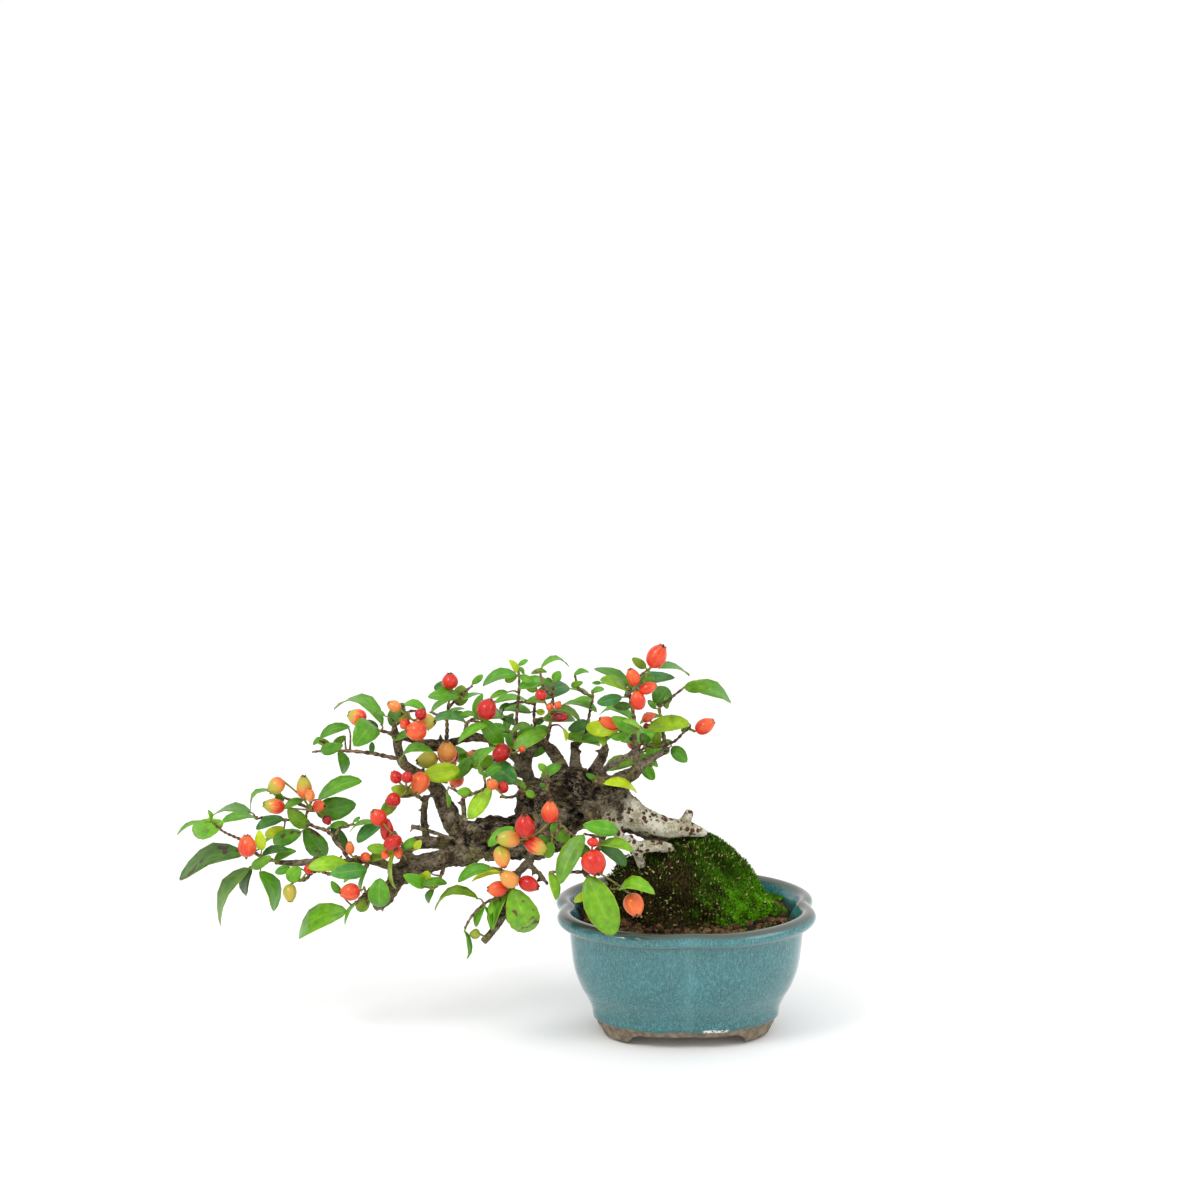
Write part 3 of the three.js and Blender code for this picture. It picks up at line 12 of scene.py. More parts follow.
import bmesh
import bpy
import numpy as np
from bpy.types import ID, Material, Mesh, Node, NodeOutputs, NodeSocket, Object
from mathutils import Matrix, Vector


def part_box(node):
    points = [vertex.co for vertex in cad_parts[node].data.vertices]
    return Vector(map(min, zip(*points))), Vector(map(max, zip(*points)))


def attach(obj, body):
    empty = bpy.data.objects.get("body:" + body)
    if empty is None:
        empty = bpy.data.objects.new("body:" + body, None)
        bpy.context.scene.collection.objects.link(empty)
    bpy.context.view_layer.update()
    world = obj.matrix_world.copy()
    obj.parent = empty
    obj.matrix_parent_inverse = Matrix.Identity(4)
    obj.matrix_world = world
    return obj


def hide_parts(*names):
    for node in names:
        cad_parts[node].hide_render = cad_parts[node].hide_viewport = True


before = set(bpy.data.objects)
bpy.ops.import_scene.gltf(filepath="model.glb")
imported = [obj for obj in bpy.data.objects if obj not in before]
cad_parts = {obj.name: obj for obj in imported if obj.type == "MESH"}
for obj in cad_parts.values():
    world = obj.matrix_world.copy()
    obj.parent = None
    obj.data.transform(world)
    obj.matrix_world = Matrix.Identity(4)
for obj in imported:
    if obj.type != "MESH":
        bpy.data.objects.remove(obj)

log = logging.getLogger("bonsai")

MM = 0.001
SEED = 20817

# How leaves and berries find room, as in the frame: sizes in mm, and shares of a leaf's length.
LEAF_SHORTEST_WIDTH = 0.44
LEAF_ARCH = 0.1
LEAF_STALK = 0.34
ROOT_REACH = 2.6
TWIG_SPACING = 1.2
TWIG_PLACE_RADIUS = 0.65
STALK_CLEAR = 0.3
WANTED_ROOM = 0.5

# Pot sizes in mm, but for the lobes: a notch's depth is a share of the reach, its spread is in degrees.
POT_HEIGHT = 46.0
POT_HALF_WIDTH = 47.2
POT_HALF_DEPTH = 38.5
LOBE_NOTCH = {"side": 0.087, "front": 0.068, "spread": 12.0, "sharpness": 1.4}
LOBE_ROUNDNESS = 2.05
FLOOR_TOP = 9.0
FOOT_ARCH = {"height": 4.4, "front_half": 19.0, "side_half": 9.5}
DRAIN_RADIUS = 5.0
SOIL_LEVEL = 40.8
SOIL_GAP = 0.34
MESH_ROOM = {"half": 8.84, "top": 10.6}


@dataclass(frozen=True)
class Spray:
    """A leafy stem: its twigs, its leaves of the near side and how many spare leaves it bears."""

    twigs: list[list[tuple]]
    leaves: list[tuple]
    spare: int = 0


# Woody limbs, each (across, down, depth, thickness) in picture points but for the depth in mm.
LIMBS = {
    "trunk": [(652, 828, 0, 26), (625, 812, -1, 40), (602, 802, -2, 52), (575, 798, -2, 64),
        (552, 806, -3, 62), (530, 822, -4, 50)],
    "shoulder": [(560, 815, -3, 50), (540, 833, -4, 48), (510, 838, -6, 46), (480, 838, -7, 42),
        (462, 847, -7, 28)],
    "upperRoot": [(600, 803, -2, 34), (622, 810, -3, 30), (645, 821, -3, 25), (665, 827, -3, 22),
        (690, 829, -2, 16), (706, 834, 0, 8)],
    "rootStub": [(680, 828, -2, 12), (687, 818, -2, 11), (690, 810, -2, 9)],
    "lowerRoot": [(605, 815, -6, 26), (618, 834, -8, 10), (635, 846, -8, 12), (655, 846, -8, 13),
        (672, 848, -4, 9)],
    "smallRoot": [(628, 836, -8, 9), (637, 852, -8, 11), (642, 866, -5, 9)],
    "tapRoot": [(640, 822, 0, 24), (668, 842, 4, 22), (682, 868, 7, 14)],
    "backRoot": [(630, 812, 2, 20), (652, 826, 10, 15), (668, 846, 14, 10)],
    "mainLimb": [(480, 840, -7, 34), (468, 853, -8, 27), (450, 856, -8, 24), (430, 862, -9, 21),
        (415, 868, -9, 21), (401, 873, -10, 23), (392, 886, -12, 18), (384, 900, -13, 15),
        (373, 907, -14, 13)],
    "mainTwin": [(468, 842, -4, 22), (450, 843, -2, 14), (430, 843, -1, 13), (416, 843, -2, 13),
        (407, 852, -6, 11), (405, 866, -9, 11)],
    "midBack": [(428, 844, 0, 10), (425, 830, 3, 8), (424, 811, 4, 8), (426, 795, 4, 6)],
    "upLeft": [(470, 842, -5, 26), (453, 822, -1, 24), (445, 805, 2, 19), (437, 790, 5, 16),
        (425, 779, 7, 12), (406, 766, 8, 11), (400, 755, 9, 10), (397, 742, 9, 9), (394, 724, 8, 6)],
    "limbA": [(528, 825, 0, 26), (527, 802, 4, 24), (529, 781, 8, 14), (526, 765, 10, 12),
        (531, 751, 12, 10), (540, 742, 14, 8)],
    "limbB": [(565, 782, -1, 20), (560, 764, 4, 14), (550, 749, 9, 12), (540, 739, 14, 8)],
    "limbC": [(577, 780, 5, 16), (575, 760, 11, 11), (575, 750, 14, 9), (573, 742, 16, 7)],
    "limbD": [(588, 784, 0, 18), (592, 772, 1, 13), (600, 761, 2, 11), (604, 750, 2, 9), (606, 744, 1, 6)],
    "limbE": [(598, 780, -4, 14), (605, 769, -7, 8), (622, 759, -11, 6), (634, 751, -14, 5)],
    "limbF": [(590, 786, -4, 20), (602, 779, -6, 11), (615, 780, -7, 9), (627, 780, -8, 10),
        (635, 772, -8, 13), (642, 765, -7, 11), (655, 757, -4, 8), (668, 749, -1, 7)],
    "limbG": [(637, 770, -8, 9), (636, 757, -9, 8), (635, 745, -10, 7), (634, 735, -11, 6)],
    "arch": [(528, 776, 8, 14), (522, 768, 8, 11), (515, 757, 9, 10), (503, 748, 10, 9), (490, 740, 11, 9),
        (475, 737, 12, 9), (460, 740, 12, 9), (446, 744, 12, 10), (433, 745, 12, 13), (420, 742, 11, 9),
        (405, 737, 10, 8), (397, 735, 9, 7)],
    "midThin": [(462, 842, -9, 8), (448, 837, -10, 5), (425, 830, -11, 5), (411, 826, -12, 5)],
    "innerUp": [(464, 834, -8, 8), (464, 816, -8, 6), (463, 800, -8, 5)],
    "lowerLeft": [(408, 876, -10, 12), (400, 872, -10, 10), (385, 864, -9, 9), (370, 860, -9, 9),
        (350, 862, -9, 9), (330, 863, -8, 8), (312, 862, -8, 7), (295, 863, -7, 7), (274, 862, -7, 6)],
    "lowerFront": [(552, 818, -16, 24), (545, 834, -19, 13), (535, 850, -22, 10), (528, 862, -24, 9),
        (518, 873, -26, 9), (512, 886, -27, 8), (507, 901, -28, 8), (503, 915, -29, 9), (494, 930, -30, 9),
        (483, 942, -30, 8)],
    "lowerFrontSide": [(528, 864, -24, 6), (540, 874, -26, 5), (548, 885, -27, 4)],
    "frontRight": [(592, 812, -16, 16), (600, 830, -22, 10), (601, 845, -27, 7), (590, 857, -31, 6),
        (585, 869, -34, 5), (590, 879, -36, 4)],
    "frontRightRoot": [(592, 808, -2, 30), (592, 812, -16, 16)],
    "frontRoot": [(556, 812, -3, 40), (553, 817, -15, 26)],
    "backLimb": [(560, 802, 6, 34), (545, 790, 16, 16), (528, 778, 23, 10), (505, 770, 28, 7),
        (480, 768, 30, 6)],
    "backRight": [(592, 800, 4, 26), (606, 786, 13, 12), (622, 774, 19, 8), (640, 768, 22, 6)],
}
PALE_ROOTS = ("upperRoot", "rootStub", "lowerRoot", "smallRoot")

# Leafy stems: their twigs as (across, down, depth), the leaves of the near side as
# (base across, base down, tip across, tip down, width seen), and the number of spare leaves if any.
SPRAYS = {
    "spray_far_left": Spray([
        [(284, 863, -7), (272, 860, -9), (258, 855, -11), (245, 842, -12), (235, 837, -13), (226, 833, -13),
         (218, 828, -13)],
        [(271, 860, -9.3), (262, 865, -8), (251, 867, -7)]],
        [(244, 853, 180, 880, 18), (224, 822, 193, 833, 20), (206, 822, 177, 835, 3),
         (211, 820, 208, 810, 4), (262, 850, 259, 830, 11), (258, 850, 272, 838, 4),
         (249, 868, 221, 926, 14), (252, 869, 246, 895, 12), (260, 872, 274, 910, 14),
         (252, 868, 271, 856, 11), (262, 855, 289, 850, 8)], 1),
    "spray_left_top": Spray([
        [(350, 862, -9), (342, 848, -6), (335, 838, -3), (325, 830, 0), (313, 826, 2), (306, 818, 3),
         (309, 808, 3), (311, 803, 3)],
        [(306, 818, 3), (285, 820, 6), (268, 817, 8), (256, 819, 8)],
        [(309, 808, 3), (290, 800, 4), (274, 794, 4)],
        [(335, 838, -3), (340, 828, -7), (354, 824, -9)]],
        [(250, 812, 206, 822, 5), (256, 818, 222, 823, 8), (272, 790, 251, 812, 3), (283, 818, 256, 829, 11),
         (285, 828, 265, 836, 12), (302, 832, 273, 843, 16), (306, 827, 288, 808, 16),
         (303, 800, 284, 809, 8), (280, 802, 279, 792, 10), (305, 828, 325, 856, 22),
         (318, 800, 362, 781, 14), (316, 812, 356, 804, 24), (330, 826, 350, 826, 8),
         (332, 826, 347, 850, 14), (353, 822, 360, 817, 4)]),
    "spray_left_low": Spray([
        [(369, 861, -9), (364, 868, -13), (345, 872, -13.5), (330, 874, -13), (320, 871, -12),
         (312, 873, -12), (305, 880, -11), (296, 881, -10), (291, 884, -10)]],
        [(290, 867, 275, 873, 9), (300, 867, 288, 881, 15), (350, 866, 308, 868, 15),
         (367, 870, 330, 874, 17), (366, 867, 344, 883, 8), (365, 875, 362, 893, 4)], 1),
    "spray_left_end": Spray([
        [(388, 888, -12), (378, 884, -15), (366, 893, -17), (357, 902, -18), (349, 910, -18)],
        [(366, 893, -17), (368, 905, -19)]],
        [(380, 878, 379, 907, 22), (368, 897, 358, 911, 14), (347, 911, 299, 937, 22),
         (356, 902, 345, 925, 4), (340, 893, 331, 881, 8)]),
    "spray_mid_red": Spray([
        [(411, 866, -9), (404, 856, -12.5), (402, 845, -13), (396, 834, -13), (388, 827, -13),
         (380, 822, -13)],
        [(404, 854, -12.5), (415, 849, -15)]],
        [(374, 823, 350, 832, 4), (383, 823, 357, 842, 13), (389, 849, 367, 848, 11),
         (402, 849, 416, 839, 10), (415, 849, 421, 840, 8), (397, 849, 396, 889, 4)]),
    "spray_under_main": Spray([
        [(446, 862, -9), (440, 878, -13), (434, 888, -15), (420, 884, -16), (412, 883, -16)]],
        [(428, 871, 424, 883, 14), (434, 889, 428, 903, 7)], 2),
    "spray_upper_left_low": Spray([
        [(424, 800, 4), (414, 795, -2), (402, 797, -6)]],
        [(415, 794, 391, 788, 13), (398, 797, 381, 816, 13)]),
    "spray_upper_left_tip": Spray([
        [(403, 760, 9), (385, 756, 11), (370, 753, 12), (350, 751, 13), (335, 751, 14), (322, 751, 14),
         (312, 752, 14)],
        [(335, 751, 14), (325, 743, 12), (318, 741, 11)]],
        [(350, 727, 320, 738, 10), (320, 737, 313, 745, 5), (346, 736, 333, 748, 8),
         (372, 742, 372, 754, 6)], 3),
    "spray_upper_left_crown": Spray([
        [(398, 744, 9), (391, 734, 5), (380, 731, 3), (372, 731, 2)],
        [(391, 734, 5), (396, 724, 3.5), (402, 716, 3), (411, 711, 3), (421, 712, 3)],
        [(402, 716, 3), (403, 704, 2)]],
        [(383, 725, 334, 710, 9), (372, 724, 354, 746, 26), (378, 728, 367, 720, 7),
         (403, 703, 391, 726, 17), (426, 711, 402, 706, 8), (385, 716, 376, 712, 4),
         (399, 721, 409, 716, 7)], 1),
    "spray_arch_left": Spray([
        [(412, 770, 8), (415, 769, 3), (424, 773, 1), (433, 779, 0)],
        [(415, 769, 3), (408, 766, 1), (401, 764, 0)]],
        [(400, 764, 433, 752, 7), (423, 775, 460, 770, 20), (432, 781, 448, 783, 5)]),
    "spray_arch_top": Spray([
        [(446, 744, 12), (447, 732, 14), (447, 720, 15), (448, 708, 15), (451, 690, 15)],
        [(448, 708, 15), (462, 694, 16), (472, 686, 17)],
        [(447, 720, 15), (437, 715, 17), (431, 712, 18)]],
        [(456, 684, 434, 688, 12), (459, 706, 462, 685, 17), (472, 684, 483, 675, 7),
         (463, 700, 483, 694, 4), (431, 713, 448, 701, 6), (445, 716, 465, 709, 4)], 2),
    "spray_arch_mid": Spray([
        [(466, 738, 12), (466, 726, 7), (471, 720, 4), (481, 717, 3)],
        [(471, 720, 4), (484, 724, 1)]],
        [(475, 716, 483, 694, 9), (476, 716, 461, 714, 5), (466, 722, 428, 732, 8), (487, 725, 458, 743, 9),
         (481, 719, 503, 746, 17)], 1),
    "spray_top_rosette": Spray([
        [(514, 756, 9), (515, 738, 7), (517, 712, 5), (519, 692, 4), (519, 676, 3)],
        [(515, 738, 7), (513, 746, 3), (510, 750, 1)]],
        [(517, 675, 483, 686, 11), (517, 676, 505, 681, 8), (517, 672, 509, 660, 7), (518, 666, 528, 660, 5),
         (520, 676, 534, 682, 8), (519, 667, 524, 675, 4), (508, 692, 490, 699, 6), (513, 749, 547, 733, 15),
         (509, 750, 493, 744, 4), (512, 731, 530, 725, 7)], 1),
    "spray_top_mid": Spray([
        [(540, 744, 14), (536, 730, 16), (534, 716, 18), (535, 704, 19), (537, 690, 20)],
        [(535, 704, 19), (522, 702, 18), (511, 704, 17)]],
        [(537, 690, 524, 685, 9), (526, 700, 494, 703, 6), (510, 704, 499, 709, 5), (531, 713, 498, 711, 9),
         (545, 702, 526, 702, 7), (545, 712, 536, 712, 7), (545, 718, 534, 724, 7),
         (500, 718, 517, 726, 7)], 1),
    "spray_top_mid_right": Spray([
        [(546, 745, 10), (549, 730, 4), (552, 712, 0), (553, 697, -3), (553, 682, -5)],
        [(553, 697, -3), (543, 684, -5), (540, 671, -7)]],
        [(536, 700, 569, 687, 17), (541, 668, 569, 667, 4), (531, 674, 547, 672, 5),
         (554, 681, 560, 671, 10), (552, 681, 546, 678, 4), (543, 720, 575, 720, 12),
         (550, 731, 535, 727, 9), (580, 720, 546, 717, 7), (563, 728, 566, 741, 4)], 1),
    "spray_top_right_inner": Spray([
        [(574, 746, 15), (584, 738, 15), (588, 722, 15), (590, 711, 15), (593, 697, 15), (592, 690, 15)],
        [(593, 697, 15), (579, 689, 17), (575, 676, 18)]],
        [(571, 686, 583, 682, 7), (574, 675, 589, 672, 5), (597, 712, 560, 707, 7), (590, 697, 569, 689, 4),
         (592, 700, 571, 703, 5), (591, 693, 604, 689, 6), (588, 722, 568, 730, 12),
         (566, 738, 600, 745, 14)], 1),
    "spray_right_inner": Spray([
        [(605, 748, 2), (605, 738, -1), (611, 733, -3), (619, 730, -5), (627, 735, -4)]],
        [(619, 730, 586, 727, 16), (601, 734, 604, 746, 8), (627, 735, 611, 738, 9)], 1),
    "spray_right_top": Spray([
        [(634, 738, -11), (635, 727, -12), (633, 712, -12), (630, 697, -12), (631, 687, -12),
         (641, 675, -12), (652, 667, -12)]],
        [(622, 697, 597, 703, 12), (629, 685, 594, 669, 10), (628, 690, 600, 680, 10),
         (601, 683, 592, 683, 4), (632, 706, 613, 706, 9), (634, 722, 599, 715, 8), (646, 668, 632, 658, 9),
         (624, 696, 675, 678, 12), (658, 668, 689, 676, 5), (641, 730, 623, 721, 5)], 2),
    "spray_right_mid": Spray([
        [(664, 752, -2), (665, 745, 1), (663, 732, 4), (661, 718, 6), (660, 707, 7), (672, 697, 7),
         (685, 687, 6)],
        [(665, 745, 1), (675, 741, 0), (684, 732, -1), (690, 727, -2)],
        [(665, 745, 1), (652, 747, -1), (643, 743, -2)]],
        [(655, 704, 668, 688, 22), (667, 709, 665, 697, 5), (656, 709, 648, 700, 6),
         (690, 724, 647, 730, 16), (660, 716, 640, 724, 6), (641, 733, 648, 745, 11),
         (656, 745, 658, 731, 9), (659, 745, 672, 741, 8), (672, 747, 687, 762, 14), (638, 755, 658, 767, 8),
         (689, 687, 731, 702, 15), (690, 727, 681, 731, 6)], 1),
    "spray_trunk_leaf": Spray([
        [(594, 786, -7), (595, 781, -13), (603, 784, -16)]],
        [(604, 784, 637, 793, 8), (596, 779, 586, 774, 6)]),
    "spray_centre_limb": Spray([
        [(528, 802, -1), (522, 792, -8), (517, 784, -11)],
        [(522, 792, -8), (512, 797, -10), (500, 797, -11)]],
        [(517, 782, 492, 765, 24), (526, 789, 506, 783, 6), (526, 791, 535, 797, 8)]),
    "spray_centre_left": Spray([
        [(463, 806, -8), (464, 797, -10), (475, 793, -12), (485, 787, -13), (483, 772, -13)],
        [(464, 797, -10), (455, 790, -11), (448, 787, -11)]],
        [(491, 787, 469, 819, 17), (486, 776, 496, 748, 4), (471, 791, 457, 792, 9),
         (446, 793, 448, 807, 4)], 1),
    "spray_trunk_front": Spray([
        [(552, 800, -12), (547, 789, -15), (549, 780, -16), (545, 772, -16)]],
        [(546, 770, 538, 764, 8), (541, 777, 561, 765, 10), (545, 788, 540, 783, 5)]),
    "spray_front_upper": Spray([
        [(553, 812, -18), (560, 826, -25), (552, 836, -29), (540, 832, -31), (524, 828, -32),
         (514, 827, -32)],
        [(560, 826, -25), (574, 836, -30), (583, 840, -32)]],
        [(515, 828, 488, 846, 12), (551, 824, 569, 841, 16), (550, 840, 539, 837, 9),
         (580, 840, 566, 848, 12), (552, 842, 546, 858, 12), (577, 842, 588, 856, 13)]),
    "spray_front_low": Spray([
        [(520, 872, -26), (510, 873, -30), (494, 868, -32), (484, 871, -33)],
        [(514, 882, -27), (511, 888, -32), (497, 897, -33), (484, 904, -33), (472, 916, -33),
         (465, 928, -33)],
        [(510, 873, -30), (509, 889.4, -32.1)]],
        [(492, 868, 458, 882, 11), (503, 873, 472, 882, 5), (478, 898, 435, 911, 7),
         (509, 889, 492, 930, 13), (513, 889, 530, 931, 32), (507, 910, 512, 924, 8),
         (484, 905, 476, 927, 8), (484, 906, 490, 929, 4), (492, 903, 490, 915, 6),
         (464, 931, 467, 959, 4)]),
    "spray_front_right": Spray([
        [(601, 843, -27), (604, 838, -31), (608, 833, -33)],
        [(604, 838, -31), (585, 834, -33)],
        [(586, 866, -33), (583, 872, -38), (590, 880, -40), (600, 888, -41), (615, 889, -42)],
        [(604, 838, -31), (596, 852, -37), (583, 872, -38)],
        [(583, 872, -38), (566, 872, -39), (550, 872, -39)]],
        [(584, 835, 560, 884, 20), (549, 872, 556, 900, 10), (618, 831, 583, 825, 16),
         (600, 845, 633, 852, 10), (600, 848, 626, 866, 12), (588, 876, 614, 935, 32),
         (619, 890, 655, 894, 12), (588, 892, 574, 902, 8)]),
    "spray_back_left": Spray([
        [(492, 768, 29), (474, 766, 31), (452, 770, 32), (434, 764, 32)],
        [(474, 766, 31), (466, 752, 34)]],
        [], 8),
    "spray_back_mid": Spray([
        [(522, 776, 25), (520, 760, 28), (524, 742, 30), (532, 724, 31)],
        [(524, 742, 30), (506, 730, 32)]],
        [], 8),
    "spray_back_right": Spray([
        [(632, 770, 21), (640, 758, 24), (636, 742, 26), (626, 728, 27)],
        [(639, 752, 24.8), (650, 744, 27), (660, 742, 28)]],
        [], 8),
}

# Berry bunches: where the stalks meet, then each berry as (across, down, width, height, calyx way) and
# how ripe it is at its stalk and at its calyx: 0 green, 0.3 yellow, 0.5 orange, 0.65 orange-red, 0.85 red
# and 1 dark red. A berry without those two is orange-red.
BUNCHES = {
    "berries_left_top": ((312, 810, -1), [(276, 786, 19, 17, 220, 0.5, 0.12),
        (304, 787, 16, 24, 90, 0.58, 0.14), (274, 806, 22, 16, 170, 0.8, 0.2),
        (319, 806, 13, 13, 0, 0.68, 0.6), (310, 795, 10, 13, 90, 0.5, 0.5),
        (327, 820, 10, 10, 300, 1.0, 0.95)]),
    "berries_far_left": ((246, 858, -17), [(247, 846, 19, 22, 90)]),
    "berries_left_low": ((300, 880, -15), [(290, 893, 14, 18, 270, 0.15, 0.28),
        (309, 869, 11, 9, 60, 0.82, 0.8)]),
    "berries_left_mid": ((356, 856, -13), [(350, 848, 9, 13, 90, 0.5, 0.45), (366, 857, 11, 10, 0)]),
    "berries_left_end": ((364, 887, -21), [(350, 892, 20, 18, 185)]),
    "berries_upper_left_low": ((408, 788, -6), [(396, 777, 13, 13, 120, 0.85, 0.8),
        (407, 777, 12, 12, 80, 0.88, 0.8), (420, 783, 20, 22, 250, 0.58, 0.5),
        (393, 800, 15, 15, 200, 0.85, 0.85)]),
    "berries_mid_red": ((392, 834, -20), [(378, 817, 17, 17, 130, 0.78, 0.6),
        (387, 830, 14, 22, 90, 0.86, 0.84), (393, 843, 20, 14, 300, 0.86, 0.82), (398, 853, 9, 12, 280),
        (385, 855, 9, 9, 250)]),
    "berries_upper_left": ((370, 722, 0), [(357, 717, 19, 18, 160, 0.78, 0.22)]),
    "berries_upper_left_crown": ((410, 718, -2), [(394, 706, 14, 12, 150, 0.5, 0.45),
        (405, 724, 11, 11, 230), (416, 731, 21, 20, 180, 0.66, 0.58), (427, 722, 17, 18, 0, 0.62, 0.18),
        (421, 714, 12, 12, 60, 0.95, 0.9)]),
    "berries_arch_left": ((440, 760, 6), [(427, 760, 22, 18, 190, 0.3, 0.14),
        (447, 752, 20, 22, 95, 0.5, 0.36), (454, 755, 10, 16, 80, 0.92, 0.8)]),
    "berries_arch_top": ((450, 692, 12), [(450, 681, 17, 16, 90, 0.82, 0.78)]),
    "berries_arch_mid": ((480, 716, -1), [(487, 709, 21, 21, 60, 0.92, 0.86)]),
    "berries_top_mid": ((549, 710, -7), [(541, 695, 11, 12, 120, 0.85, 0.8), (550, 707, 8, 8, 90),
        (558, 705, 8, 8, 60), (560, 717, 17, 10, 0, 1.0, 0.95)]),
    "berries_right_top": ((641, 690, -17), [(657, 656, 20, 25, 58, 0.7, 0.66), (633, 677, 14, 18, 110),
        (648, 688, 18, 12, 20), (638, 700, 15, 20, 95)]),
    "berries_right_inner": ((618, 729, -11), [(609, 723, 22, 13, 155)]),
    "berries_right_mid": ((654, 724, 1), [(648, 717, 15, 9, 120, 0.7, 0.6),
        (646, 726, 6, 6, 200, 1.0, 1.0)]),
    "berries_right_end": ((694, 731, -5), [(705, 726, 21, 16, 30)]),
    "berries_centre_front": ((511, 753, -4), [(501, 753, 18, 20, 230, 0.98, 0.9), (522, 749, 7, 7, 30)]),
    "berries_centre_limb": ((505, 797, -15), [(492, 784, 12, 12, 130, 0.52, 0.48),
        (503, 787, 12, 12, 70, 0.86, 0.8)]),
    "berries_front_upper": ((528, 838, -36), [(550, 812, 17, 21, 90), (525, 826, 20, 23, 95, 0.86, 0.8),
        (508, 839, 24, 17, 175, 0.5, 0.16), (502, 857, 17, 22, 280, 0.2, 0.5),
        (536, 846, 24, 17, 325, 0.8, 0.16)]),
    "berries_front_left": ((516, 882, -38), [(509, 879, 20, 17, 140, 0.42, 0.36), (497, 889, 19, 16, 180),
        (529, 884, 21, 16, 340, 0.9, 0.84)]),
    "berries_front_right": ((590, 868, -42), [(594, 863, 25, 25, 290, 0.74, 0.8),
        (593, 842, 12, 9, 80, 0.8, 0.78), (634, 905, 21, 23, 285, 0.52, 0.5)]),
    "berries_front_tip": ((484, 938, -34), [(475, 934, 10, 11, 180, 0.08, 0.05)]),
    "berries_back_left": ((462, 768, 38), [(448, 762, 17, 18, 120), (472, 758, 16, 17, 70),
        (456, 780, 17, 16, 240)]),
    "berries_back_right": ((640, 752, 28), [(652, 746, 17, 18, 40), (634, 742, 16, 16, 110),
        (646, 764, 16, 18, 280)]),
}
USUAL_RIPENESS = (0.7, 0.58)

# Moss mound: level, then how far it reaches to the left, right, front and back.
MOUND_LEVELS = [
    (37.5, 24, 30, 14, 23), (41, 25.5, 31.5, 15, 24), (46, 25.5, 29.5, 14, 22.5), (52, 25.5, 25, 13, 20.5),
    (58, 23, 20.5, 11.5, 18), (63, 16, 15.5, 9, 15), (67, 10, 11.5, 6, 11),
]
MOUND_TOP = (2.0, 4.0, 69.5)

# Outer face of the pot from foot to lip, then its inner face: (level, inset from the widest outline).
POT_FOOT = [(0.0, 18.0), (0.25, 17.0), (0.9, 16.1), (2.0, 15.5), (3.4, 15.1), (5.0, 14.7)]
POT_BODY = [
    (6.2, 14.0), (7.1, 13.2), (10.4, 12.7), (14.5, 10.8), (18.2, 8.7), (25, 6.3), (33, 5.1), (39.6, 4.5)]
POT_LIP = [
    (40.2, 4.1), (40.5, 3.0), (40.7, 1.9), (41.3, 0.95), (42.3, 0.25), (43.4, 0.0), (44.4, 0.3), (45.2, 1.0),
    (45.8, 2.0), (46.0, 3.2), (45.6, 4.4), (44.8, 5.3), (43.6, 5.9),
]
POT_INSIDE = [(40.0, 8.2), (33, 9.1), (26, 10.1), (16, 14.3), (FLOOR_TOP, 17.5)]


class Tone(Enum):
    """A leaf's colour: how yellow, how blue and how light it is."""

    FRESH = (0.0, 0.0, 1.0)
    DEEP = (0.0, 0.3, 0.7)
    DARK = (0.0, 0.4, 0.5)
    BLUISH = (0.0, 0.9, 0.95)
    OLIVE = (0.4, 0.0, 0.7)
    YELLOW_GREEN = (0.6, 0.0, 1.15)
    YELLOW = (1.0, 0.0, 1.25)
    BRIGHT = (0.25, 0.0, 1.3)
    PALE = (0.2, 0.3, 1.5)


# Leaves whose tone stands out, by the picture point of their base. The others are fresh green.
TONED_LEAVES = {
    Tone.DEEP: [(244, 853)],
    Tone.PALE: [(224, 822), (366, 867), (667, 709), (641, 730), (491, 787)],
    Tone.DARK: [
        (252, 869), (262, 855), (332, 826), (372, 742), (378, 728), (510, 704), (545, 718), (500, 718),
        (632, 706), (588, 722), (600, 848), (580, 840), (655, 704)],
    Tone.YELLOW_GREEN: [
        (262, 850), (397, 849), (423, 775), (517, 672), (545, 712), (619, 730), (601, 734), (604, 784),
        (588, 892)],
    Tone.BLUISH: [
        (283, 818), (367, 870), (383, 823), (403, 703), (456, 684), (466, 722), (536, 700), (512, 731),
        (543, 720), (622, 697), (624, 696), (517, 782), (584, 835)],
    Tone.YELLOW: [(415, 849), (428, 871), (563, 728), (503, 873), (285, 828)],
    Tone.BRIGHT: [(350, 866), (389, 849), (628, 690), (690, 724), (549, 872), (513, 749)],
    Tone.OLIVE: [
        (368, 897), (398, 797), (399, 721), (459, 706), (545, 702), (580, 720), (646, 668), (478, 898),
        (415, 794), (656, 745)],
}
ARCHED_LEAVES = [
    (372, 724), (380, 878), (383, 725), (426, 711), (400, 764), (466, 722), (541, 668), (580, 720),
    (634, 722), (478, 898), (619, 890), (272, 790), (486, 776)]
SPOTTED_LEAVES = [(244, 853), (517, 782), (513, 889), (305, 828), (302, 832)]


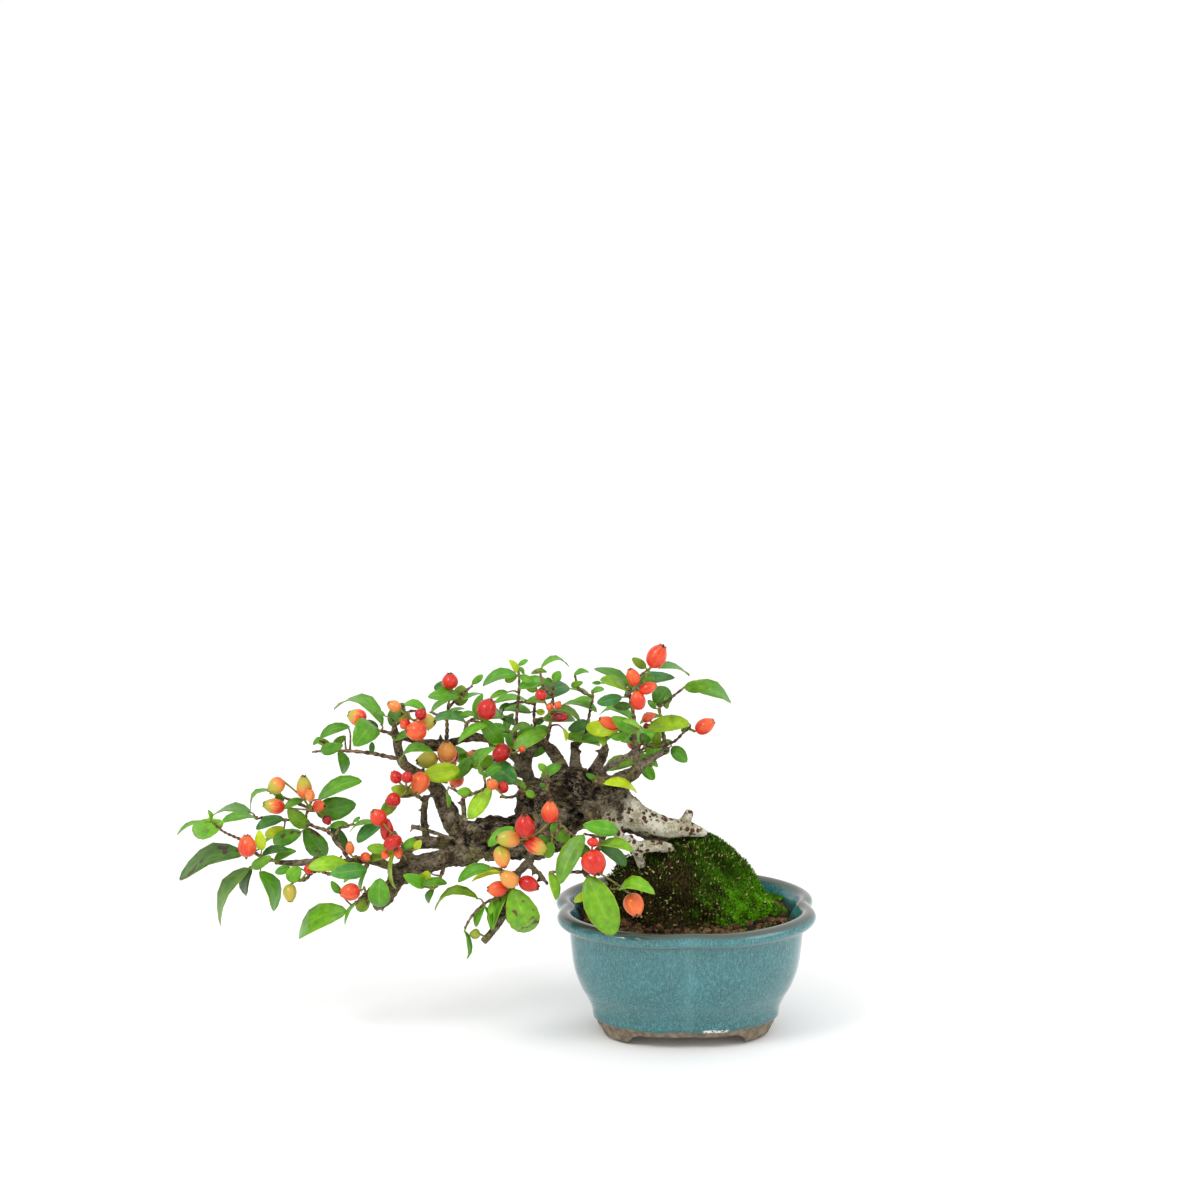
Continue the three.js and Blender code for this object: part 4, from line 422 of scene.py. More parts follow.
@dataclass(frozen=True)
class Sight:
    """The front view that the routes are read in."""

    scale: float = 0.349
    distance: float = 1500.0
    elevation: float = math.radians(20.3)
    turn: float = math.radians(1.5)
    middle: float = 600.0
    pot_foot: tuple[float, float] = (685.0, 1027.0)

    @property
    def focal(self) -> float:
        """The focal length in picture points."""
        return self.distance / self.scale

    @property
    def axes(self) -> tuple[np.ndarray, ...]:
        """The way the view looks, its right-hand side and its upper side."""
        pitch = self.elevation - math.atan((self.pot_foot[1] - self.middle) / self.focal)
        flat = math.cos(pitch)
        forward = np.array([math.sin(self.turn) * flat, math.cos(self.turn) * flat, -math.sin(pitch)])
        right = np.array([math.cos(self.turn), -math.sin(self.turn), 0.0])
        return forward, right, np.cross(right, forward)

    @property
    def eye(self) -> np.ndarray:
        """Where the view is seen from, in the model frame."""
        forward, right, up = self.axes
        across, down = ((place - self.middle) / self.focal for place in self.pot_foot)
        return -self.distance * (forward + across * right - down * up)


SIGHT = Sight()
FORWARD, RIGHT, UP = SIGHT.axes
EYE = SIGHT.eye


def at(across: float, down: float, depth: float) -> np.ndarray:
    """The model point under a picture point at a depth behind the middle of the pot."""
    ray = (FORWARD + (across - SIGHT.middle) / SIGHT.focal * RIGHT
           - (down - SIGHT.middle) / SIGHT.focal * UP)
    return EYE + (depth - EYE[1]) / ray[1] * ray


def route(points: list[tuple]) -> np.ndarray:
    """The model points of a limb or twig."""
    return np.array([at(*point[:3]) for point in points])


def unit(vector: np.ndarray) -> np.ndarray:
    """The vector at length one."""
    return vector / np.linalg.norm(vector)


class Draw:
    """A repeatable draw between 0 and 1, the same as the frame's."""

    WORD = 0xFFFFFFFF

    def __init__(self, seed: int) -> None:
        self.state = seed & self.WORD

    def __call__(self) -> float:
        """The next number."""
        self.state = (self.state + 0x6D2B79F5) & self.WORD
        mixed = ((self.state ^ (self.state >> 15)) * (1 | self.state)) & self.WORD
        stirred = ((mixed ^ (mixed >> 7)) * (61 | mixed)) & self.WORD
        mixed = ((mixed + stirred) ^ mixed) & self.WORD
        return (mixed ^ (mixed >> 14)) / 4294967296


@dataclass
class LeafPose:
    """How a leaf lies, in mm: its root on the twig, its base and the way it runs and faces."""

    key: tuple[float, float]
    root: np.ndarray
    base: np.ndarray
    along: np.ndarray
    normal: np.ndarray
    side: np.ndarray
    length: float
    width: float

    @classmethod
    def leaning(cls, leaf: tuple, root: np.ndarray, depth: float, lean: float) -> "LeafPose":
        """A leaf read off the picture, leaning away from the view by an angle.

        Args:
            leaf: Base and tip as picture points, then the width seen.
            root: Where its stalk leaves the twig.
            depth: How far behind the middle of the pot its base lies.
            lean: The angle that it leans away.

        Returns:
            The pose.
        """
        base_across, base_down, tip_across, tip_down, seen = leaf
        flat = math.hypot(tip_across - base_across, tip_down - base_down) * SIGHT.scale
        base = at(base_across, base_down, depth)
        reach = at(tip_across, tip_down, depth + flat * math.tan(lean)) - base
        length = float(np.linalg.norm(reach))
        along = reach / length
        width = max(seen * SIGHT.scale, LEAF_SHORTEST_WIDTH * length)
        roll = math.acos(min(seen * SIGHT.scale / width, 1.0))
        facing = unit(-FORWARD + along * np.dot(FORWARD, along))
        turned = [turned_about(facing, along, angle) for angle in (roll, -roll)]
        normal = turned[0] if turned[0][2] >= turned[1][2] else turned[1]
        side = np.cross(along, normal)
        return cls((base_across, base_down), root, base, along, normal, side, length, width)

    def point(self, part: np.ndarray | float) -> np.ndarray:
        """The middle line of the blade at a share of its length."""
        part = np.asarray(part)[..., None]
        rise = LEAF_ARCH * self.length * 4 * part * (1 - part)
        return self.base + part * self.length * self.along + rise * self.normal


def turned_about(vector: np.ndarray, axis: np.ndarray, angle: float) -> np.ndarray:
    """A vector turned about an axis at right angles to it."""
    return vector * math.cos(angle) + np.cross(axis, vector) * math.sin(angle)


@dataclass
class Berry:
    """A berry: its ripeness at both ends, its middle, the way its calyx points and its size in mm."""

    ripe: tuple[float, float]
    centre: np.ndarray
    pointing: np.ndarray
    length: float
    girth: float


@dataclass
class Bunch:
    """A bunch: the knob where its stalks meet, the carrying stalk's foot on the tree, and its berries."""

    knob: np.ndarray
    foot: np.ndarray
    berries: list[Berry]


@dataclass
class Growth:
    """Settles berries and leaves in the room that the wood and twigs leave, as the frame does."""

    points: np.ndarray = field(default_factory=lambda: np.empty((0, 3)))
    radii: np.ndarray = field(default_factory=lambda: np.empty(0))
    owners: np.ndarray = field(default_factory=lambda: np.empty(0, dtype=str))
    bunches: dict[str, Bunch] = field(default_factory=dict)
    leaves: dict[str, list[LeafPose]] = field(default_factory=dict)

    BERRY_TRIES = (0, -2.5, 2.5, -5, 5, -7.5, 7.5, -10)
    LEAN_TRIES = (0, 0.2, -0.2, 0.4, -0.4, 0.6, -0.6, 0.8, -0.8, 1, -1)
    DEPTH_TRIES = (0, 1.6, -1.6, 3.2, -3.2)
    STEEPEST_LEAN = 0.95
    LEAF_SAMPLES = (0.12, 0.32, 0.52, 0.72, 0.92)
    STALK_SAMPLES = (0.6, 1.0)
    RIM_LEVEL, RIM_INSET, RIM_STEPS, RIM_RADIUS = 43.2, 2.8, 96, 3.2
    LIMB_PARTS = (0.0, 0.33, 0.67)
    SEARCH_REACH = 40.0
    SPIRAL_STEP = 0.382

    def take(self, owner: str, points: np.ndarray, radii: np.ndarray | float) -> None:
        """Marks places as taken by one owner."""
        points = np.atleast_2d(points)
        self.points = np.vstack([self.points, points])
        self.radii = np.append(self.radii, np.broadcast_to(radii, len(points)))
        self.owners = np.append(self.owners, np.full(len(points), owner))

    def settle(self) -> "Growth":
        """Takes the wood and twigs, then settles every bunch and every leaf."""
        rim = outline_ring(self.RIM_LEVEL, self.RIM_INSET, self.RIM_STEPS)
        self.take("pot", rim, self.RIM_RADIUS)
        for limb in LIMBS.values():
            self.take_limb(limb)
        for name, spray in SPRAYS.items():
            for twig in spray.twigs:
                self.take_twig(f"{name} twig", route(twig))
        self.bunches = {name: self.settled_bunch(name, *bunch) for name, bunch in BUNCHES.items()}
        for order, (name, spray) in enumerate(SPRAYS.items()):
            draw = Draw(SEED + 101 * order)
            leaves = [*spray.leaves, *self.spare_leaves(spray, draw)]
            self.leaves[name] = [self.settled_leaf(name, leaf, draw) for leaf in leaves]
        return self

    def take_limb(self, limb: list[tuple]) -> None:
        """Marks a limb's places as taken."""
        run = Run.of_limb(limb)
        steps, changes = np.diff(run.points, axis=0), np.diff(run.radii)
        for point, step, radius, change in zip(run.points, steps, run.radii, changes):
            for part in self.LIMB_PARTS:
                self.take("wood", point + part * step, radius + part * change)

    def take_twig(self, owner: str, points: np.ndarray) -> None:
        """Marks a twig's places as taken, at even spacing."""
        lengths = np.concatenate([[0], np.cumsum(np.linalg.norm(np.diff(points, axis=0), axis=1))])
        runs = np.arange(0, lengths[-1] + 1e-9, TWIG_SPACING)
        places = np.stack([np.interp(runs, lengths, points[:, axis]) for axis in range(3)], axis=1)
        self.take(owner, places, TWIG_PLACE_RADIUS)

    def room_around(self, places: np.ndarray, radii: np.ndarray, owner: str, root: np.ndarray) -> float:
        """The least room round some places. A leaf may touch its own twig near its root."""
        own = (self.owners == owner) & (np.linalg.norm(self.points - root, axis=1) < ROOT_REACH)
        near = ~own & (np.linalg.norm(self.points - places[0], axis=1) < self.SEARCH_REACH)
        apart = np.linalg.norm(places[:, None] - self.points[None, near], axis=2)
        return float((apart - radii[:, None] - self.radii[None, near]).min(initial=math.inf))

    def roomiest(self, choices: list[tuple], owner: str, root: np.ndarray) -> tuple:
        """The first choice with room to spare, or else the one with the most room."""
        best, best_room = choices[0], -math.inf
        for choice in choices:
            room = self.room_around(choice[1], choice[2], owner, root)
            if room >= WANTED_ROOM:
                return choice
            if room > best_room:
                best, best_room = choice, room
        return best

    def settled_bunch(self, name: str, knob_point: tuple, rows: list[tuple]) -> Bunch:
        """A bunch with each berry at the depth where it has room."""
        knob = at(*knob_point)
        berries = []
        for across, down, wide, tall, way, *ripe in rows:
            radius = np.array([min(wide, tall) * SIGHT.scale / 2])
            centres = [at(across, down, knob_point[2] + shift) for shift in self.BERRY_TRIES]
            choices = [(centre, centre[None], radius) for centre in centres]
            centre = self.roomiest(choices, name, knob)[0]
            self.take(f"{name} berry", centre, radius)
            angle = math.radians(way)
            pointing = RIGHT * math.cos(angle) + UP * math.sin(angle)
            lies = abs(math.cos(angle)) > math.sqrt(0.5)
            length, girth = (wide, tall) if lies else (tall, wide)
            berries.append(Berry(
                ripe or USUAL_RIPENESS, centre, pointing, length * SIGHT.scale, girth * SIGHT.scale))
        return Bunch(knob, self.stalk_foot(knob), berries)

    def stalk_foot(self, knob: np.ndarray) -> np.ndarray:
        """Where a bunch's stalk meets the nearest twig or limb, just clear of its middle."""
        carries = (self.owners == "wood") | np.char.endswith(self.owners, "twig")
        room = np.where(carries, np.linalg.norm(self.points - knob, axis=1) - self.radii, math.inf)
        nearest = int(np.argmin(room))
        away = knob - self.points[nearest]
        reach = float(np.linalg.norm(away))
        return self.points[nearest] + away / reach * min(reach, self.radii[nearest] + STALK_CLEAR)

    @staticmethod
    def nearest_on_twigs(twigs: list[list[tuple]], across: float, down: float) -> list[float]:
        """The twig point nearest to a picture point."""
        best, best_gap = None, math.inf
        for twig in twigs:
            for index, (start, end) in enumerate(zip(twig, twig[1:])):
                run = (end[0] - start[0], end[1] - start[1])
                part = (across - start[0]) * run[0] + (down - start[1]) * run[1]
                part = part / (run[0] ** 2 + run[1] ** 2)
                part = min(max(part, 0.5 if index == 0 else 0.0), 1.0)
                point = [low + part * (high - low) for low, high in zip(start, end)]
                gap = math.hypot(across - point[0], down - point[1])
                if gap < best_gap:
                    best, best_gap = point, gap
        return best

    def leaf_places(self, pose: LeafPose) -> tuple[np.ndarray, np.ndarray]:
        """The small round places that a leaf and its stalk fill."""
        stalk = [pose.root + part * (pose.base - pose.root) for part in self.STALK_SAMPLES]
        blade = []
        for part in self.LEAF_SAMPLES:
            reach = 0.33 * pose.width * math.sin(math.pi * part)
            blade.extend(pose.point(part) + sideways * pose.side for sideways in (-reach, 0, reach))
        radii = [LEAF_STALK] * len(stalk) + [0.12 * pose.width + 0.2] * len(blade)
        return np.array(stalk + blade), np.array(radii)

    def settled_leaf(self, name: str, leaf: tuple, draw: Draw) -> LeafPose:
        """A leaf with the lean and depth where it has room.

        Args:
            name: Its spray.
            leaf: Base and tip as picture points, then the width seen.
            draw: The spray's repeatable draw.

        Returns:
            The pose.
        """
        root_point = self.nearest_on_twigs(SPRAYS[name].twigs, leaf[0], leaf[1])
        root = at(*root_point)
        depth = root_point[2] + 2.4 * (draw() - 0.5)
        first_lean = 1.2 * (draw() - 0.5)
        choices = []
        for more in self.LEAN_TRIES:
            lean = min(max(first_lean + more, -self.STEEPEST_LEAN), self.STEEPEST_LEAN)
            for shift in self.DEPTH_TRIES:
                pose = LeafPose.leaning(leaf, root, depth + shift, lean)
                choices.append((pose, *self.leaf_places(pose)))
        pose, places, radii = self.roomiest(choices, f"{name} twig", root)
        self.take(f"{name} leaf", places, radii)
        return pose

    @classmethod
    def spare_leaves(cls, spray: Spray, draw: Draw) -> list[tuple]:
        """Leaves of the far side, set along the twigs and turned away from the front."""
        leaves = []
        for count in range(spray.spare):
            twig = spray.twigs[count % len(spray.twigs)]
            place = 1 + math.floor(draw() * (len(twig) - 1.01))
            part = draw()
            start, end = twig[place - 1], twig[place]
            across = start[0] + part * (end[0] - start[0])
            down = start[1] + part * (end[1] - start[1])
            way = 2 * math.pi * ((count * cls.SPIRAL_STEP) % 1) + 0.8 * draw()
            reach = 22 + 12 * draw()
            leaves.append((across, down, across + reach * math.cos(way), down - 0.7 * reach * math.sin(way),
                           0.3 * reach + 6 * draw()))
        return leaves


# Meshes


def to_world(points: np.ndarray) -> np.ndarray:
    """Model points in mm as points of the frame in metres."""
    return (points + SHIFT) * MM


def pot_middle() -> np.ndarray:
    """Where the middle of the pot lies in the frame, in mm."""
    low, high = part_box("pot")
    return np.array([(low.x + high.x) / 2, (low.y + high.y) / 2, 0.0]) / MM


SHIFT = pot_middle()


def off_axis(angle: np.ndarray | float) -> np.ndarray:
    """How far an angle lies from the nearest quarter turn, in degrees."""
    quarter = math.pi / 2
    return np.degrees(np.abs(angle - quarter * np.round(angle / quarter)))


def outline_point(angle: float, inset: float) -> tuple[float, float]:
    """A point of the pot's lobed outline."""
    c, s = math.cos(angle), math.sin(angle)
    notch = LOBE_NOTCH["side"] if abs(c) > abs(s) else LOBE_NOTCH["front"]
    spread = float(off_axis(angle)) / LOBE_NOTCH["spread"]
    reach = 1 - notch * math.exp(-(spread ** LOBE_NOTCH["sharpness"]))
    bend = 2 / LOBE_ROUNDNESS
    return ((POT_HALF_WIDTH - inset) * reach * math.copysign(abs(c) ** bend, c),
            (POT_HALF_DEPTH - inset) * reach * math.copysign(abs(s) ** bend, s))


def outline_ring(level: float, inset: float, steps: int) -> np.ndarray:
    """The pot's outline at a level."""
    angles = [2 * math.pi * step / steps for step in range(steps)]
    return np.array([(*outline_point(angle, inset), level) for angle in angles])


def inner_inset(level: float) -> float:
    """How far the pot's inner wall lies inside its widest outline at a level."""
    inside = [(POT_HEIGHT, 3.2), (POT_HEIGHT - 1.6, 5.6), *POT_INSIDE]
    levels, insets = zip(*reversed(inside))
    return float(np.interp(level, levels, insets))


def select_only(obj: Object) -> None:
    """Makes an object the only selected one, and the active one."""
    bpy.ops.object.select_all(action="DESELECT")
    obj.select_set(True)
    bpy.context.view_layer.objects.active = obj


def added(name: str, data: ID) -> Object:
    """A new object in the scene."""
    obj = bpy.data.objects.new(name, data)
    bpy.context.collection.objects.link(obj)
    return obj


def named(name: str) -> Object:
    """The active object and its mesh under a name."""
    obj = bpy.context.object
    obj.name = obj.data.name = name
    return obj


def baked(name: str) -> Object:
    """The active object under a name, with its place and size baked into its mesh."""
    bpy.ops.object.transform_apply(location=True, rotation=True, scale=True)
    return named(name)


def block(name: str, middle: tuple, size: tuple) -> Object:
    """A box from its middle and its size in mm."""
    sides = [side * MM for side in size]
    bpy.ops.mesh.primitive_cube_add(size=1, location=to_world(np.array(middle)), scale=sides)
    return baked(name)


def apply_modifier(obj: Object, kind: str, **settings: object) -> None:
    """Adds a modifier with its settings and applies it."""
    select_only(obj)
    bpy.ops.object.modifier_add(type=kind)
    modifier = obj.modifiers[-1]
    for setting, value in settings.items():
        setattr(modifier, setting, value)
    bpy.ops.object.modifier_apply(modifier=modifier.name)


def roughen(obj: Object, layers: tuple, level: float, **settings: object) -> None:
    """Pushes a surface in and out by clouds, each layer with a grain and a strength in mm."""
    for grain, strength in layers:
        clouds = bpy.data.textures.new("clouds", "CLOUDS")
        clouds.noise_scale = grain * MM
        apply_modifier(obj, "DISPLACE", texture=clouds, strength=strength * MM, mid_level=level,
                       texture_coords="LOCAL", **settings)


def cut_out(obj: Object, cutter: Object) -> None:
    """Takes a cutter out of an object and removes the cutter."""
    apply_modifier(obj, "BOOLEAN", operation="DIFFERENCE", solver="EXACT", object=cutter)
    bpy.data.objects.remove(cutter)


@contextmanager
def shape_of(obj: Object) -> Iterator[bmesh.types.BMesh]:
    """An object's mesh, open for edits that are stored at the end."""
    shape = bmesh.new()
    shape.from_mesh(obj.data)
    yield shape
    shape.to_mesh(obj.data)
    shape.free()


def face_outwards(obj: Object) -> None:
    """Turns every face of a closed mesh outwards."""
    with shape_of(obj) as shape:
        bmesh.ops.recalc_face_normals(shape, faces=shape.faces)


def corners_of(mesh: Mesh, what: str = "co") -> np.ndarray:
    """A mesh's vertices, or another vector stored at each of them, as rows."""
    places = np.empty(3 * len(mesh.vertices))
    mesh.vertices.foreach_get(what, places)
    return places.reshape(-1, 3)


def model_corners(obj: Object) -> np.ndarray:
    """An object's vertices as model points in mm."""
    return corners_of(obj.data) / MM - SHIFT


def place_corners(mesh: Mesh, places: np.ndarray) -> None:
    """Moves a mesh's vertices to new places."""
    mesh.vertices.foreach_set("co", np.ascontiguousarray(places, dtype=np.float64).ravel())
    mesh.update()


def mark(mesh: Mesh, name: str, values: np.ndarray) -> None:
    """Stores one number for each vertex under a name."""
    layer = mesh.attributes.get(name) or mesh.attributes.new(name, "FLOAT", "POINT")
    layer.data.foreach_set("value", np.ascontiguousarray(values, dtype=np.float32))


def mesh_from(name: str, points: np.ndarray, faces: list) -> Object:
    """A new smooth mesh object from model points in mm."""
    mesh = bpy.data.meshes.new(name)
    mesh.from_pydata(to_world(points).tolist(), [], faces)
    mesh.update()
    obj = added(name, mesh)
    face_outwards(obj)
    smooth(obj)
    return obj


def smooth(obj: Object, angle: float = 180.0) -> None:
    """Shades an object smooth but for edges sharper than an angle in degrees."""
    select_only(obj)
    if angle >= 180:
        bpy.ops.object.shade_smooth()
    else:
        bpy.ops.object.shade_smooth_by_angle(angle=math.radians(angle))


def ring_faces(rows: int, steps: int) -> list[tuple[int, ...]]:
    """The faces between rings of equally many points, closed at both ends."""
    faces = [tuple(reversed(range(steps)))]
    for row in range(rows - 1):
        for step in range(steps):
            after = (step + 1) % steps
            low, high = row * steps, (row + 1) * steps
            faces.append((low + step, low + after, high + after, high + step))
    faces.append(tuple(range((rows - 1) * steps, rows * steps)))
    return faces


@dataclass
class Run:
    """A round stem: its points in mm and its radius at each."""

    points: np.ndarray
    radii: np.ndarray

    @classmethod
    def of_limb(cls, limb: list[tuple]) -> "Run":
        """A limb's points and radii."""
        return cls(route(limb), np.array([point[3] for point in limb]) * SIGHT.scale / 2)

    @classmethod
    def through(cls, *stops: tuple[np.ndarray, float]) -> "Run":
        """A stem through some points, each with its radius."""
        points, radii = zip(*stops)
        return cls(np.array(points), np.array(radii))

    def eased(self, parts: int) -> "Run":
        """The same stem on a smooth curve through its points, with more points."""
        last = len(self.points) - 1
        places = np.linspace(0, last, last * parts + 1)
        rows = np.column_stack([self.points, self.radii])
        padded = np.vstack([2 * rows[0] - rows[1], rows, 2 * rows[-1] - rows[-2]])
        index = np.minimum(places.astype(int), last - 1)
        t = (places - index)[:, None]
        a, b, c, d = (padded[index + shift] for shift in range(4))
        curved = 0.5 * (2 * b + (c - a) * t + (2 * a - 5 * b + 4 * c - d) * t**2
                        + (3 * b - 3 * c + d - a) * t**3)
        return Run(curved[:, :3], np.maximum(curved[:, 3], rows[:, 3].min() * 0.8))


def stems(name: str, runs: list[Run], roundness: int = 1) -> Object:
    """One mesh of round stems with capped ends; roundness is the resolution of the bevelled curves."""
    curve = bpy.data.curves.new(name, "CURVE")
    curve.dimensions = "3D"
    curve.bevel_depth = MM
    curve.bevel_resolution = roundness
    curve.use_fill_caps = True
    for run in runs:
        spline = curve.splines.new("POLY")
        spline.points.add(len(run.points) - 1)
        places = np.column_stack([to_world(run.points), np.ones(len(run.points))])
        spline.points.foreach_set("co", places.ravel())
        spline.points.foreach_set("radius", np.asarray(run.radii, dtype=np.float64))
    select_only(added(name, curve))
    bpy.ops.object.convert(target="MESH")
    obj = named(name)
    face_outwards(obj)
    smooth(obj)
    return obj


@dataclass
class Master:
    """A small shape modelled once and ready to be copied many times."""

    places: np.ndarray
    faces: list[tuple[int, ...]]
    picture: np.ndarray

    @classmethod
    def taken_from(cls, obj: Object) -> "Master":
        """Keeps an object's shape and removes the object."""
        mesh = obj.data
        faces = [tuple(face.vertices) for face in mesh.polygons]
        picture = np.zeros((len(mesh.loops), 2))
        if mesh.uv_layers:
            flat = np.empty(2 * len(mesh.loops))
            mesh.uv_layers[0].data.foreach_get("uv", flat)
            picture = flat.reshape(-1, 2)
        master = cls(corners_of(mesh), faces, picture)
        bpy.data.objects.remove(obj)
        return master

    def copies(self, name: str, sets: list[np.ndarray], **marks: np.ndarray) -> Object:
        """One mesh of many copies.

        Args:
            name: The object's name.
            sets: The places of each copy's corners, in mm.
            marks: Named numbers, one for each copy or one for each corner of every copy.

        Returns:
            The mesh object.
        """
        count = len(self.places)
        faces = [tuple(corner + count * index for corner in face)
                 for index in range(len(sets)) for face in self.faces]
        obj = mesh_from(name, np.vstack(sets), faces)
        layer = obj.data.uv_layers.new(name="UVMap")
        layer.data.foreach_set("uv", np.tile(self.picture, (len(sets), 1)).ravel())
        for label, values in marks.items():
            mark(obj.data, label, np.repeat(values, count) if len(values) == len(sets) else values)
        return obj


# Finishes


def joined(operation: str, turned: bool = False) -> Callable:
    """A method that joins a Value and another number with a Math node."""
    def method(self: "Value", other: "Value | float") -> "Value":
        return self.maths(operation, other, self) if turned else self.maths(operation, self, other)
    return method


class Value:
    """A number in a shader that adds and multiplies like an ordinary one."""

    def __init__(self, paint: "Paint", socket: NodeSocket) -> None:
        self.paint = paint
        self.socket = socket

    def maths(self, operation: str, *operands: "Value | float") -> "Value":
        """The result of a Math node on these operands."""
        node = self.paint.node("ShaderNodeMath", {"operation": operation}, dict(enumerate(operands)))
        return Value(self.paint, node.outputs[0])

    __add__ = __radd__ = joined("ADD")
    __mul__ = __rmul__ = joined("MULTIPLY")
    __sub__ = joined("SUBTRACT")
    __rsub__ = joined("SUBTRACT", turned=True)
    least = joined("MINIMUM")

    def size(self) -> "Value":
        """The number without its sign."""
        return self.maths("ABSOLUTE", self)

    def sine(self) -> "Value":
        """The sine of the number."""
        return self.maths("SINE", self)

    def step(self, low: float, high: float) -> "Value":
        """A smooth step from 0 at low to 1 at high. High may be the smaller."""
        inputs = {"Value": self, "From Min": min(low, high), "From Max": max(low, high)}
        settings = {"interpolation_type": "SMOOTHSTEP"}
        rising = Value(self.paint, self.paint.node("ShaderNodeMapRange", settings, inputs).outputs[0])
        return rising if low < high else 1.0 - rising


class Paint:
    """A material being put together round one Principled BSDF."""

    COLOUR_FACTOR, COLOUR_LOW, COLOUR_HIGH, COLOUR_RESULT = 0, 6, 7, 2

    def __init__(self, name: str, **constants: object) -> None:
        self.material = bpy.data.materials.new(name)
        self.material.use_nodes = True
        self.tree = self.material.node_tree
        self.surface = self.tree.nodes["Principled BSDF"]
        for socket, value in constants.items():
            self.surface.inputs[socket.replace("_", " ")].default_value = value

    def node(self, kind: str, settings: dict | None = None, inputs: dict | None = None) -> Node:
        """Adds a node with its properties and a number, colour, Value or socket for its inputs."""
        node = self.tree.nodes.new(kind)
        for setting, value in (settings or {}).items():
            setattr(node, setting, value)
        for key, value in (inputs or {}).items():
            self.feed(node.inputs[key], value)
        return node

    def feed(self, socket: NodeSocket, value: object) -> None:
        """Links a value into a socket, or sets it there."""
        if isinstance(value, Value):
            value = value.socket
        if isinstance(value, NodeSocket):
            self.tree.links.new(value, socket)
        else:
            socket.default_value = value

    def put(self, **inputs: object) -> None:
        """Feeds the surface's own inputs."""
        for key, value in inputs.items():
            self.feed(self.surface.inputs[key.replace("_", " ")], value)

    def place(self) -> NodeSocket:
        """The object coordinates."""
        return self.node("ShaderNodeTexCoord").outputs["Object"]

    def axes(self) -> tuple[Value, Value, Value]:
        """The object coordinates, one by one, in mm."""
        parts = self.node("ShaderNodeSeparateXYZ", inputs={0: self.place()})
        return tuple(Value(self, output) * (1 / MM) for output in parts.outputs)

    def picture(self) -> tuple[Value, Value]:
        """The two coordinates of the UV map."""
        parts = self.node("ShaderNodeSeparateXYZ", inputs={0: self.node("ShaderNodeUVMap").outputs[0]})
        return tuple(Value(self, output) for output in parts.outputs[:2])

    def marked(self, name: str) -> Value:
        """A number stored at each vertex."""
        return Value(self, self.node("ShaderNodeAttribute", {"attribute_name": name}).outputs["Fac"])

    def texture(self, kind: str, grain: float, stretch: tuple, **inputs: float) -> NodeOutputs:
        """A texture of a grain in mm, finer along each axis by a stretch."""
        scaled = self.node("ShaderNodeVectorMath", {"operation": "MULTIPLY"}, {0: self.place(), 1: stretch})
        inputs = {"Vector": scaled.outputs[0], "Scale": 1 / (grain * MM), **inputs}
        return self.node(kind, inputs=inputs).outputs

    def noise(self, grain: float, detail: float = 2.0, stretch: tuple = (1, 1, 1),
              rough: float = 0.5) -> Value:
        """Noise between 0 and 1.

        Args:
            grain: The size of its patches in mm.
            detail: How many finer layers it has.
            stretch: How much finer it is along each axis.
            rough: How strong the finer layers are.

        Returns:
            The noise.
        """
        outputs = self.texture("ShaderNodeTexNoise", grain, stretch, Detail=detail, Roughness=rough)
        return Value(self, outputs[0])

    def streaks(self, around: Value, along: Value) -> Value:
        """Noise in long streaks from the foot of the UV map to its head."""
        place = self.node("ShaderNodeCombineXYZ", inputs={0: around * 16.0, 1: along * 1.6})
        inputs = {"Vector": place.outputs[0], "Scale": 1.0, "Detail": 3.0}
        return Value(self, self.node("ShaderNodeTexNoise", inputs=inputs).outputs[0])

    def spots(self, grain: float) -> Value:
        """How far each point is, in grains, from the nearest of many scattered spots."""
        return Value(self, self.texture("ShaderNodeTexVoronoi", grain, (1, 1, 1))["Distance"])

    def mixed(self, factor: Value | float, low: object, high: object) -> NodeSocket:
        """One colour turning into another."""
        inputs = {self.COLOUR_FACTOR: factor, self.COLOUR_LOW: low, self.COLOUR_HIGH: high}
        settings = {"data_type": "RGBA", "clamp_factor": True}
        return self.node("ShaderNodeMix", settings, inputs).outputs[self.COLOUR_RESULT]

    def scaled(self, colour: object, factor: Value) -> NodeSocket:
        """A colour made lighter or darker."""
        grey = self.node("ShaderNodeCombineXYZ", inputs={0: factor, 1: factor, 2: factor}).outputs[0]
        return self.node("ShaderNodeVectorMath", {"operation": "MULTIPLY"}, {0: colour, 1: grey}).outputs[0]

    def bump(self, height: Value, depth: float, strength: float = 1.0) -> None:
        """Raises the surface by a height between 0 and 1 times a depth in mm."""
        inputs = {"Height": height, "Distance": depth * MM, "Strength": strength}
        self.put(Normal=self.node("ShaderNodeBump", inputs=inputs).outputs[0])


def colour(red: float, green: float, blue: float) -> tuple[float, float, float, float]:
    """A colour from its screen values between 0 and 255."""
    def linear(part: float) -> float:
        share = part / 255
        return share / 12.92 if share <= 0.04045 else ((share + 0.055) / 1.055) ** 2.4
    return (linear(red), linear(green), linear(blue), 1.0)


